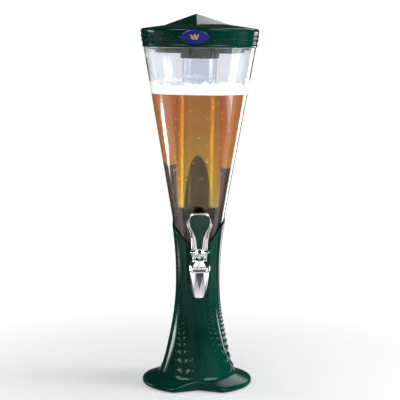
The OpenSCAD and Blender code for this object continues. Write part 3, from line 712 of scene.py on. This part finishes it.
@dataclass
class Vessel:
    """Clear tapered vessel, the ring on its mouth, and the drink with its foam."""

    top_r: float = 97.0
    top_z: float = 589.0
    shoulder_z: float = 240.0
    neck_top_z: float = 234.5
    neck_r: float = 31.5
    shoulder_w: float = 4.3
    rebate: float = 2.3
    floor_z: float = 196.0
    drink_z: float = 510.5
    froth_z: float = 522.5
    tube_r: float = 29.4
    tube_low_z: float = 309.0

    @property
    def taper(self) -> float:
        """Widening of the vessel for each millimetre of height."""
        return (self.top_r - self.neck_r - self.shoulder_w) / (self.top_z - self.shoulder_z)

    def radius(self, z: float) -> float:
        """Outer radius of the taper."""
        return self.neck_r + self.shoulder_w + self.taper * (z - self.shoulder_z)

    def inside(self, z: float) -> float:
        """Inner radius of the wall."""
        low, high = self.radius(242) - 2.8, self.radius(560) - 2.6
        if z < 236:
            return self.neck_r - 3
        if z < 242:
            return mix(self.neck_r - 3, low, (z - 236) / 6)
        return mix(low, high, (z - 242) / 318)

    def shell(self) -> Form:
        """Wall, neck and floor."""
        lip, top, neck = self.top_r - self.rebate, self.top_z, self.neck_r
        profile = filleted([
            (0, self.floor_z, 0), (neck, self.floor_z, 2.4), (neck, self.neck_top_z, 2),
            (self.radius(self.shoulder_z), self.shoulder_z, 3), (self.top_r - 0.1, top - 0.4, 0.3),
            (lip, top - 0.4, 0.2), (lip, top + 8, 0.8), (lip - 2.6, top + 8, 0.8), (lip - 2.6, top - 13, 6),
            (self.inside(560), 560, 6), (self.inside(242), 242, 3), (neck - 3, 236, 2),
            (neck - 3, self.floor_z + 3, 3), (0, self.floor_z + 3, 0)])
        return Form().turned(profile, 144)

    def ring(self) -> Form:
        """Ring on the mouth that the lid's plug drops into."""
        lip, z = self.top_r - self.rebate, self.top_z + 8
        profile = filleted([(lip - 15.4, z, 0.5), (lip - 3.4, z - 4, 0.4), (lip - 2.9, z - 4, 0.2),
                            (lip - 2.9, z, 0.1), (lip, z, 0.1), (lip, z + 2.4, 0.5),
                            (lip - 15.4, z + 2.4, 0.5)], closed=True, arc=3)
        return Form().turned(profile, 128, closed=True)

    def drink(self) -> Form:
        """The drink, a little into the walls that hold it."""
        into, tube, foot = 0.35, self.tube_r, self.tube_low_z
        profile = [(0, 198.6), (28.3, 198.8), (28.5 + into, 201), (28.5 + into, 236)]
        profile += [(self.inside(z) + into, z) for z in (242, 380, self.drink_z)]
        profile += [(tube - into, self.drink_z), (tube - into, foot + 8), (tube - 1.6, foot + 4.4),
                    (tube - 4.6, foot + 1.8), (tube - 9.4, foot + into), (0, foot + into)]
        return Form().turned(profile, 128)

    def froth(self) -> Form:
        """Foam: a lumpy ring with a ragged edge left on the wall."""
        rows = 26

        def lump(a: float, t: float, size: float) -> float:
            """Unevenness at an angle and a place across the ring."""
            p = around(1.0, a, t)
            return noise.noise(Vector(p) * size) + 0.5 * noise.noise(Vector(p) * size * 2.7)

        def place(i: int, j: int) -> Vector:
            """Point of the ring's section."""
            a = 360 * (i % 220) / 220
            base, j = self.drink_z - 0.5, j % rows
            edge = self.froth_z + 3 + 11 * clamp(lump(a, 0.3, 7) + 0.25, 0, 1)
            climb = self.froth_z + 2 + 4 * clamp(lump(a, 5.1, 4) + 0.2, 0, 1)
            if j < 6:
                z = mix(base, edge, j / 5)
                return around(self.inside(z) + 0.3, a, z)
            if j < 9:
                z = mix(edge, self.froth_z + 1.5, (j - 5) / 4)
                return around(self.inside(z) - 0.5 - 0.5 * (j - 6), a, z)
            if j < 20:
                t = (j - 9) / 10
                r = mix(self.inside(self.froth_z) - 2.2, self.tube_r + 1.6, t)
                return around(r, a, self.froth_z + 1.6 * lump(a, t * 2, 9))
            if j < 23:
                z = mix(self.froth_z + 1, climb, (j - 19) / 3)
                return around(self.tube_r + 0.5 - 0.1 * (j - 20), a, z)
            return around(self.tube_r - 0.3, a, mix(climb, base, (j - 22) / 3))

        return Form().draped(220, rows, place)

    def bubbles(self) -> Form:
        """Small bubbles on the tube and the wall, most of them near the foam."""
        form = Form()
        for i in range(150):
            h = abs(noise.cell(Vector((i * 1.7 + 0.5, 3.5, 0.5)))) ** 0.6
            a = 360 * noise.cell(Vector((0.5, i * 2.3 + 0.5, 7.5)))
            z = mix(330, self.drink_z - 4, h)
            size = mix(0.35, 0.9, abs(noise.cell(Vector((4.5, 0.5, i * 1.9 + 0.5)))))
            r = self.tube_r + size if i % 3 else self.inside(z) - size
            where = Matrix.Translation(around(r, a, z))
            bmesh.ops.create_icosphere(form.bm, subdivisions=1, radius=size, matrix=where)
        return form

    def build(self) -> None:
        """Makes the vessel's pieces."""
        self.shell().made("vessel_wall", Body.TOWER, VESSEL_CLEAR, 50, ["vessel"])
        self.ring().made("mouth_ring", Body.TOWER, GREEN, 40, ["rim_ring"])
        self.drink().made("drink", Body.TOWER, LAGER, 40)
        self.froth().made("froth", Body.TOWER, FROTH, 80)
        # the bubbles wear the foam's finish, so its painted glow makes them white dots that stand in for
        # their highlights
        self.bubbles().made("bubbles", Body.TOWER, FROTH, 180)


@dataclass
class IceTube:
    """Clear tube that hangs from the lid, and the fluted collar that holds it."""

    radius: float = 29.4
    wall: float = 2.2
    low_z: float = 309.0
    top_z: float = 579.0
    collar_low_z: float = 568.5
    collar_top_z: float = 583.0
    collar_r: float = 33.7

    def tube(self) -> Form:
        """Tube with its rounded, closed foot."""
        r, w, z = self.radius, self.wall, self.low_z
        profile = filleted([(0, z, 0), (r, z, 9), (r, self.top_z, 0.5), (r - w, self.top_z, 0.5),
                            (r - w, z + 2.4, 8), (0, z + 2.4, 0)], arc=7)
        return Form().turned(profile, 112)

    def collar(self) -> Form:
        """Fluted collar."""
        flutes = 24
        low, top, z = self.collar_low_z, self.collar_top_z, self.top_z + 1
        r, bore = self.collar_r, self.radius
        section = [(bore + 0.3, low + 0.8, 0), (bore + 0.9, low, 0), (r - 0.9, low, 1), (r, low + 0.9, 1),
                   (r, top - 3.2, 1), (r, top - 1.6, 0), (r, top, 0), (24, top, 0), (24, z, 0),
                   (bore + 0.3, z, 0)]

        def place(i: int, j: int) -> Vector:
            """Point of the ring, sunk in its flutes."""
            r, z, sunk = section[j % len(section)]
            wave = 0.5 + 0.5 * math.cos(math.tau * i / 10)
            return around(r - 1.1 * sunk * wave ** 3, 360 * i / (flutes * 10), z)

        return Form().draped(flutes * 10, len(section), place)

    def build(self) -> None:
        """Makes the tube's pieces."""
        self.tube().made("ice_tube_wall", Body.ICE_TUBE, TUBE_CLEAR, 50, ["ice_tube"])
        self.collar().made("ice_collar_ring", Body.LID, DARK, 40, ["ice_collar"])


@dataclass
class Lid:
    """Lid with its crest, the band of wheat grains and the badge plate."""

    radius: float = 102.0
    low_z: float = 589.0
    top_z: float = 628.5
    fall: float = 8.0
    slope_r: float = 45.0
    crest_h: float = 17.5
    crest_r: float = 52.5
    crest_shift: float = -3.2
    crest_lean: float = 3.3
    crest_turn: float = 2.5
    mouth_r: float = 79.3
    lip_r: float = 94.7
    turn: float = -7.0
    pairs: int = 34
    badge_w: float = 52.0
    badge_h: float = 24.0
    badge_up: float = 17.5

    def band(self, z: float) -> float:
        """Radius of the band that carries the grains."""
        return self.radius - 4.1 + (z - self.low_z) * 3.8 / 26

    def slope(self, x: float) -> float:
        """Height of the upper side at a distance from the middle."""
        return self.top_z - self.fall * clamp((x - self.slope_r) / (self.radius - self.slope_r))

    def shell(self) -> Form:
        """Turned part of the lid, let in where the badge sits."""
        r, z, top = self.radius, self.low_z, self.top_z
        skirt, plug, foot, lip, wall = self.mouth_r - 2, z - 6, self.band(z + 4.4), self.lip_r, 2.6
        profile = filleted([
            (0, top, 0), (self.slope_r, top, 5), (r - 2.2, self.slope(r - 2.2), 2), (r, top - 10.6, 1),
            (r, top - 12.6, 0.8), (self.band(z + 25), z + 25, 0.6), (foot, z + 4.4, 0.8),
            (foot + 0.9, z + 3.2, 0.7), (self.band(z) + 0.4, z + 0.2, 0.8), (lip + 0.3, z, 0.3),
            (lip + 0.3, self.slope(lip) - 5, 2), (self.mouth_r + 4, self.slope(self.mouth_r + 4) - wall, 0.5),
            (skirt, self.slope(skirt) - wall, 0.5), (skirt, plug, 0.6), (skirt - wall, plug, 0.6),
            (skirt - wall, self.slope(skirt - wall) - wall, 1), (self.slope_r, top - wall, 3),
            (24, top - wall, 1), (24, plug, 0.6), (0, plug, 0)])
        form, let_in, grow = Form().turned(profile, 360), r - 1.3, 0.6
        for v in form.bm.verts:
            reach = math.hypot(v.co.x, v.co.y)
            if (v.co.y < 0 and reach > let_in and abs(v.co.x) < self.badge_w / 2 + grow
                    and abs(v.co.z - z - self.badge_up) < self.badge_half(v.co.x, grow)):
                v.co.x *= let_in / reach
                v.co.y *= let_in / reach
        return form

    def crest(self) -> Form:
        """Four-sided point that leans a little, sunk into the lid's slope."""
        form = Form()
        sunk = 2.4
        lean = Matrix.Identity(4)
        lean[0][2] = -self.crest_lean / self.crest_h
        where = (Matrix.Translation((self.crest_shift, 0, self.top_z))
                 @ Matrix.Rotation(math.radians(self.crest_turn), 4, "Z") @ lean
                 @ Matrix.Translation((0, 0, (self.crest_h - sunk) / 2)))
        bmesh.ops.create_cone(form.bm, cap_ends=True, segments=4, radius2=0.9, depth=self.crest_h + sunk,
                              radius1=self.crest_r + sunk * (self.crest_r - 0.9) / self.crest_h, matrix=where)
        return form.bevelled(0.7, 12, 4)

    def grains(self) -> Form:
        """Two rows of leaning grains on each side of the badge."""
        form = Form()
        start = math.degrees((self.badge_w / 2 + 9.5) / self.radius)
        for i in range(self.pairs):
            for side in (-1, 1):
                for up in (-1, 1):
                    a = side * (start + i * (178 - start) / (self.pairs - 1))
                    z = self.low_z + 15.8 + up * 3.4
                    where = (Matrix.Translation(around(self.band(z) - 0.1, a, z))
                             @ Matrix.Rotation(math.radians(a), 4, "Z")
                             @ Matrix.Rotation(math.radians(side * (90 + up * 38)), 4, "Y")
                             @ Matrix.Diagonal((1.05, 1.05, 4.2, 1)))
                    bmesh.ops.create_icosphere(form.bm, subdivisions=2, radius=1.0, matrix=where)
        return form

    def badge_half(self, x: float, grow: float = 0.0) -> float:
        """Half height of the badge at a distance from its middle."""
        w, h = self.badge_w + 2 * grow, self.badge_h + grow
        arc = (w * w / 4 + h * h / 4) / h
        return max(math.sqrt(max(arc * arc - x * x, 0)) - (arc - h / 2), 0.0)

    def badge(self) -> Form:
        """Marquise plate with rounded edges that follows the lid's side."""
        cols, rows, edge = 60, 22, 1.2
        half_w, z0 = self.badge_w / 2 - 0.2, self.low_z + self.badge_up
        face, back = self.radius - 0.5, self.radius - 5

        def place(i: int, j: int) -> Vector:
            """Point of the face, its edge or its back."""
            x = half_w * math.sin(math.pi * (i / cols - 0.5))
            high = self.badge_half(x)
            if j <= rows:
                t = 2 * j / rows - 1
                inset = min(clamp((1 - abs(t)) * high / edge), clamp((half_w - abs(x)) / edge))
                r = face - 0.8 * (1 - smooth(inset))
            else:
                t, r = 1 - 2 * (j - rows - 1) / rows, back
            return Vector((x, -math.sqrt(r * r - x * x), z0 + t * high))

        return Form().draped(cols, 2 * rows + 1, place).capped()

    def build(self) -> None:
        """Makes the lid's pieces."""
        turn = Matrix.Rotation(math.radians(self.turn), 4, "Z")
        form = Form().take(self.shell(), turn).take(self.crest(), turn).take(self.grains(), turn)
        form.made("lid_shell", Body.LID, GREEN, 30, ["lid"])
        Form().take(self.badge(), turn).made("badge_plate", Body.LID, BLUE, 40, ["lid_badge"])


@dataclass
class Tap:
    """Body, faceted spout, bonnet and shank of the tap."""

    out: float = 70.0
    feed_z: float = 218.5
    body_r: float = 18.4
    half_h: float = 9.5
    spout_tip_z: float = 165.5
    knee_h: float = 15.0
    outlet_r: float = 5.5
    slot_x: float = 6.6
    bonnet_r: float = 12.4

    @property
    def at_tap(self) -> Matrix:
        """Move from the tower's axis to the tap's."""
        return Matrix.Translation((0, -self.out, 0))

    def along(self, y: float) -> Matrix:
        """Turn and move that lays an upright form along the feed line, its foot at y."""
        return Matrix.Translation((0, y, self.feed_z)) @ Matrix.Rotation(math.radians(-90), 4, "X")

    def body(self) -> Form:
        """Round body with its pipe to the shank."""
        low, top, r = self.feed_z - self.half_h, self.feed_z + self.half_h, self.body_r
        side = flowing([(r - 2.2, low), (r - 0.5, low + 2.2), (r, low + 6.5), (r - 0.1, low + 10.5),
                        (r - 1.2, low + 14), (r - 3.2, low + 17), (r - 4.6, top)], 5)
        profile = [(0, low - 4), (12, low - 4), (12, low), (r - 2.8, low)] + side
        profile += [(12, top + 0.05), (0, top + 0.05)]
        form = Form().take(Form().turned(profile, 112), self.at_tap)
        pipe = filleted([(0, 0, 0), (9.4, 0, 0), (9.4, 19.5, 0.4), (0, 19.5, 0)])
        return form.take(Form().turned(pipe, 64), self.along(-self.out))

    def spout(self) -> Form:
        """Spout with triangular facets above its knee, flat sides below it and a round bore."""
        top, tip = self.feed_z - self.half_h, self.spout_tip_z
        form = Form()
        bm = form.bm
        for radius, z, turn in ((17.6, top, 22.5), (13.3, tip + self.knee_h, 0.0), (8.7, tip, 0.0)):
            where = Matrix.Translation((0, 0, z)) @ Matrix.Rotation(math.radians(turn), 4, "Z")
            bmesh.ops.create_circle(bm, cap_ends=False, segments=8, radius=radius, matrix=where)
        bmesh.ops.convex_hull(bm, input=bm.verts)
        bm.normal_update()
        bmesh.ops.delete(bm, geom=[f for f in bm.faces if abs(f.normal.z) > 0.9], context="FACES")
        bmesh.ops.dissolve_limit(bm, angle_limit=math.radians(1), verts=bm.verts, edges=bm.edges)
        form.bevelled(0.4, 12, 2)
        for z in (tip, top):
            rim = [e for e in bm.edges if e.is_boundary and all(abs(v.co.z - z) < 0.2 for v in e.verts)]
            bore = bmesh.ops.create_circle(bm, cap_ends=False, segments=32, radius=self.outlet_r,
                                           matrix=Matrix.Translation((0, 0, z)))
            inner = list({e for v in bore["verts"] for e in v.link_edges})
            bmesh.ops.bridge_loops(bm, edges=rim + inner)
        bmesh.ops.bridge_loops(bm, edges=[e for e in bm.edges if e.is_boundary])
        bmesh.ops.recalc_face_normals(bm, faces=bm.faces)
        return Form().take(form, self.at_tap)

    def bonnet(self) -> Form:
        """Flared bonnet, slotted for the lever."""
        top = self.feed_z + self.half_h
        floor, r = top + 3.2, self.bonnet_r
        profile = [(0, top - 1), (r - 0.6, top - 1), (r, top)] + flowing(
            [(r + out, top + up) for out, up in (
                (0.1, 0.8), (0.2, 3.4), (1.6, 8), (3.6, 12.6), (4.9, 15.6), (4.4, 16.6), (2.4, 16.4),
                (-0.4, 11), (-2.4, 9.6))], 4) + [(0, top + 9.6)]
        form = Form().turned(profile, 96).cut(Vector((0, 0, floor)), Vector((0, 0, 1)))
        for side in (-1, 1):
            half = Form().turned(profile, 96).cut(Vector((0, 0, floor)), Vector((0, 0, -1)))
            half.cut(Vector((side * self.slot_x, 0, 0)), Vector((-side, 0, 0)))
            half.bevelled(0.35, 50, 2)
            ear = Form()
            bmesh.ops.create_cube(ear.bm, size=1, matrix=Matrix.Translation((side * 9.2, -6, top + 8))
                                  @ Matrix.Diagonal((5.2, 9, 13, 1)))
            form.take(half).take(ear.bevelled(1.6, 30, 4))
        return Form().take(form, self.at_tap)

    def shank(self) -> Form:
        """Shank with its pipe and hexagon."""
        form = Form()
        thread = filleted([(0, 0, 0), (8, 0, 0.6), (8, 35.5, 0.6), (0, 35.5, 0)])
        form.take(Form().turned(thread, 48), self.along(-50.5))
        form.take(Form().turned(filleted([(0, 0, 0), (9.4, 0, 0.4), (9.4, 4.5, 0), (0, 4.5, 0)]), 64),
                  self.along(-50.5))
        hexagon = Form()
        bmesh.ops.create_cone(hexagon.bm, cap_ends=True, segments=6, radius1=13.6, radius2=13.6, depth=2.3)
        form.take(hexagon.bevelled(0.4, 30, 2), self.along(-46.15))
        return form

    def build(self) -> None:
        """Makes the tap's fixed pieces."""
        self.body().made("tap_body_cast", Body.TOWER, CHROME, 40, ["tap_body"])
        self.spout().made("spout_cast", Body.TOWER, CHROME, 24, ["tap_spout"])
        self.bonnet().made("bonnet_cast", Body.TOWER, CHROME, 40, ["tap_bonnet"])
        self.shank().made("shank_turned", Body.TOWER, CHROME, 40, ["tap_shank"])


@dataclass
class Lever:
    """Shield-shaped lever with a dark insert on each face."""

    out: float = 70.0
    low_z: float = 246.0
    half_t: float = 5.0
    frame_half: tuple[Point, ...] = (
        (6, 0.2), (13.6, 0.2), (14.0, 12), (14.6, 22), (16.3, 30.4), (20.7, 40.2), (22, 45.1), (19.6, 54),
        (16.6, 60.6), (13.2, 63.6), (4, 64.2))
    insert_half: tuple[Point, ...] = (
        (2, 3), (4.2, 3), (5.4, 12), (6.6, 22), (9.4, 30), (15.2, 40.2), (16.7, 45.6), (15.4, 52.6),
        (13.4, 58.6), (11.2, 60.6), (3, 61.2))

    def outline(self, half: Sequence[Point]) -> list[Point]:
        """Closed line of straight sides with softened corners, from its right half."""
        right = [(x, self.low_z + z, 0.9) for x, z in half]
        return filleted(right + [(-x, z, soft) for x, z, soft in reversed(right)], closed=True, arc=3)

    def frame(self) -> Form:
        """Chrome frame whose bars have a ridge between two flat facets."""
        outer, inner = self.outline(self.frame_half), self.outline(self.insert_half)
        t = self.half_t
        face = [(1.0, -t + 2.4), (1.0, -t + 1.15), (0.95, -t + 0.95), (0.52, -t + 0.03), (0.45, -t),
                (0.38, -t + 0.1), (0.04, -t + 1.5), (0.0, -t + 1.9), (0.0, -t + 3.0)]
        rows = face + [(d, -y) for d, y in reversed(face)]

        def place(i: int, j: int) -> Vector:
            """Point of the frame's ring."""
            d, y = rows[j % len(rows)]
            (x0, z0), (x1, z1) = outer[i % len(outer)], inner[i % len(inner)]
            return Vector((mix(x0, x1, d), -self.out + y, mix(z0, z1, d)))

        form = Form().draped(len(outer), len(rows), place)
        for side in (-1, 1):
            cheek = Form()
            corners = [(-79.4, 236.6), (-77.8, 234.6), (-75.4, 234.4), (-67.6, 235.3), (-66.8, 238.4),
                       (-67.2, 247.5), (-74.4, 247.5), (-79.0, 241)]
            face_verts = [cheek.bm.verts.new((side * 4.7 - 1.5, y, z)) for y, z in corners]
            flat = cheek.bm.faces.new(face_verts)
            grown = bmesh.ops.extrude_face_region(cheek.bm, geom=[flat])
            bmesh.ops.translate(cheek.bm, vec=(3, 0, 0),
                                verts=[g for g in grown["geom"] if isinstance(g, bmesh.types.BMVert)])
            bmesh.ops.recalc_face_normals(cheek.bm, faces=cheek.bm.faces)
            form.take(cheek.bevelled(0.5, 60, 2))
        return form

    def insert(self, side: int) -> Form:
        """Domed insert on the front (-1) or the back (1)."""
        inner = self.outline(self.insert_half)
        middle = Vector((0, self.low_z + 34))
        rows = [(1.0, 2.8), (1.0, 4.0), (0.985, 4.35), (0.95, 4.5)] + [(s, 4.5 + 0.5 * (1 - s * s)) for s in
                                                                     (0.8, 0.6, 0.4, 0.2, 0.0)]

        def place(i: int, j: int) -> Vector:
            """Point of the insert, from its edge to its middle."""
            share, depth = rows[j]
            x, z = inner[i % len(inner)]
            return Vector((mix(middle.x, x, share), -self.out + side * depth, mix(middle.y, z, share)))

        return Form().draped(len(inner), len(rows) - 1, place).capped()

    def build(self) -> None:
        """Makes the lever's pieces."""
        self.frame().made("lever_frame", Body.LEVER, CHROME, 44, ["tap_lever"])
        self.insert(-1).made("lever_insert_front", Body.LEVER, INLAY, 40, ["lever_inlay_front"])
        self.insert(1).made("lever_insert_back", Body.LEVER, INLAY, 40, ["lever_inlay_back"])


@dataclass
class Fittings:
    """The construction's own small pieces, which only need their finish."""

    finishes: dict[str, Finish] = field(default_factory=lambda: {
        "base_plate": DARK, "base_screws": STEEL, "base_feet": RUBBER, "vessel_cushion": RUBBER,
        "shank_gasket_outer": RUBBER, "shank_gasket_mid": RUBBER, "shank_gasket_inner": RUBBER,
        "shank_nut": CHROME, "spout_seal": RUBBER, "bonnet_seal": RUBBER, "pivot_pin": CHROME,
        "valve_stem": CHROME, "valve_cup": RUBBER, "valve_spring": STEEL, "crank_pin": CHROME,
        "lid_seal": SILICONE, "ice_seal": SILICONE, "ice_collar_screw": STEEL, "badge_sprig": GOLD})

    def build(self) -> None:
        """Dresses each of them."""
        for name, finish in self.finishes.items():
            finish.dress(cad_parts[name])
            log.info("node %s: %s", name, finish.name)


@dataclass(frozen=True)
class Panel:
    """Soft-edged patch of the surroundings that only reflections see; all angles in degrees."""

    across: Point
    up: Point
    level: float
    soft: float = 3.0


PANELS = (
    Panel((-75, 75), (-14, 70), 0.9, 2), Panel((-75, 75), (-62, -37), 0.9, 2),
    Panel((-75, 75), (4, 12), 0.12, 2), Panel((18, 24), (-14, 70), 0.1, 1.5),
    Panel((-24, -18), (-14, 70), 0.1, 1.5),
    Panel((-72, -34), (34, 62), 16.0), Panel((26, 68), (34, 62), 16.0),
    Panel((78, 102), (-48, -6), 1.3), Panel((-102, -78), (-48, -6), 1.3),
    Panel((-123, -106), (-15, -11.5), 20.0, 1), Panel((-123, -104), (-3, 4), 20.0, 1),
    Panel((132, 152), (-16, -4), 6.0, 2), Panel((140, 172), (22, 50), 3.0, 4))


@dataclass
class Studio:
    """Camera, floor, lamps and the white surroundings, in metres and degrees.

    What reflections see between the panels is the gloom; what lights matt surfaces is the fill.
    """

    distance: float = 2.254
    height: float = 0.604
    pitch: float = 7.085
    orbit: float = -2.0
    yaw: float = -0.0685
    roll: float = 0.516
    lens: float = 117.0
    floor_r: float = 1.3
    floor_fade: Point = (0.14, 0.6)
    floor_glow: float = 0.36
    gloom: float = 0.03
    fill: float = 0.28

    def camera(self) -> None:
        """Places the camera as the photograph was taken."""
        data = bpy.data.cameras.new("camera")
        data.lens, data.sensor_width, data.clip_start = self.lens, 36.0, 0.05
        cam = bpy.data.objects.new("camera", data)
        a = math.radians(self.orbit)
        place = Matrix.Translation((math.sin(a) * self.distance, -math.cos(a) * self.distance, self.height))
        cam.matrix_world = (place @ Matrix.Rotation(a + math.radians(self.yaw), 4, "Z")
                            @ Matrix.Rotation(math.radians(90 - self.pitch), 4, "X")
                            @ Matrix.Rotation(math.radians(self.roll), 4, "Z"))
        bpy.context.scene.collection.objects.link(cam)
        bpy.context.scene.camera = cam

    def lamp(self, name: str, angle: float, away: float, height: float, size: Point, radiance: float,
             aim: float = 0.35) -> None:
        """Adds a softbox.

        Args:
            name: its name.
            angle: degrees from the front towards the right.
            away: distance from the tower's axis, in metres.
            height: height of its middle, in metres.
            size: width and height, in metres.
            radiance: how bright its face is.
            aim: height that it faces.
        """
        data = bpy.data.lights.new(name, "AREA")
        data.shape, data.size, data.size_y = "RECTANGLE", size[0], size[1]
        data.energy = radiance * math.pi * size[0] * size[1]
        lamp = bpy.data.objects.new(name, data)
        where = around(away, angle, height)
        lamp.matrix_world = Matrix.Translation(where) @ (Vector((0, 0, aim)) - where).to_track_quat(
            "-Z", "Y").to_matrix().to_4x4()
        lamp.visible_glossy = False
        bpy.context.scene.collection.objects.link(lamp)

    def world(self) -> None:
        """White for the camera and through clear pieces, dark with a few panels for reflections."""
        world = bpy.data.worlds.new("studio")
        world.use_nodes = True
        bpy.context.scene.world = world
        recipe = Recipe(world.node_tree)
        path = recipe.add("LightPath").outputs
        seen = recipe.figure("MAXIMUM", path["Is Camera Ray"], path["Is Transmission Ray"])
        parts = recipe.add("SeparateXYZ", Vector=recipe.add("TexCoord").outputs["Generated"]).outputs
        across = recipe.figure("ARCTAN2", parts["X"], recipe.figure("MULTIPLY", parts["Y"], -1.0))
        up = recipe.figure("ARCSINE", parts["Z"])
        shade: Number = self.gloom
        for panel in PANELS:
            inside = recipe.figure("MULTIPLY", recipe.window(across, panel.across, panel.soft),
                                   recipe.window(up, panel.up, panel.soft))
            shade = recipe.between(inside, shade, panel.level, 0.0, 1.0)
        unseen = recipe.between(path["Is Glossy Ray"], self.fill, shade, 0.0, 1.0)
        level = recipe.between(seen, unseen, 1.0, 0.0, 1.0)
        back = recipe.add("Background", Color=WHITE, Strength=level)
        recipe.add("OutputWorld", Surface=back.outputs[0])

    def floor(self) -> None:
        """Pale floor that fades into the white surroundings."""
        form = Form()
        bmesh.ops.create_circle(form.bm, cap_ends=True, cap_tris=True, segments=96, radius=self.floor_r / MM)
        floor = form.placed("floor")
        material = bpy.data.materials.new("pale_floor")
        material.use_nodes = True
        recipe = Recipe(material.node_tree)
        tone = recipe.tint(recipe.grain(4, 2), (0.86, 0.87, 0.89), (0.89, 0.9, 0.92))
        top = recipe.add("BsdfPrincipled", Base_Color=tone, Roughness=0.18, IOR=1.35)
        lit = recipe.add("AddShader")
        recipe.put(lit, 0, top.outputs[0])
        recipe.put(lit, 1, recipe.add("Emission", Color=WHITE, Strength=self.floor_glow).outputs[0])
        seen = recipe.blend(recipe.add("LightPath").outputs["Is Camera Ray"], top, lit)
        away = recipe.add("VectorMath", Vector=recipe.add("TexCoord").outputs["Object"])
        away.operation = "LENGTH"
        fade = recipe.between(away.outputs["Value"], 0.0, 1.0, *self.floor_fade)
        recipe.surface(recipe.blend(fade, seen, recipe.add("BsdfTransparent")))
        floor.data.materials.append(material)

    def build(self) -> None:
        """Sets the stage."""
        bpy.context.scene.view_settings.view_transform = "Standard"
        self.world()
        self.floor()
        self.lamp("softbox_left", -115, 1.4, 0.55, (0.75, 1.5), 1.3)
        self.lamp("softbox_right", 80, 1.4, 0.6, (0.62, 1.4), 7.5)
        self.lamp("softbox_front", -25, 2.2, 1.7, (1.2, 0.8), 2.4)


def main() -> None:
    """Builds the scene in order."""
    studio = Studio()
    studio.camera()
    studio.build()
    vessel = Vessel()
    for assembly in (Foot(vessel), vessel, IceTube(), Lid(), Tap(), Lever(), Fittings()):
        log.info("building %s", type(assembly).__name__)
        assembly.build()
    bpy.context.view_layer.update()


if __name__ == "__main__":
    logging.basicConfig(level=logging.INFO, format="%(name)s: %(message)s")
    main()
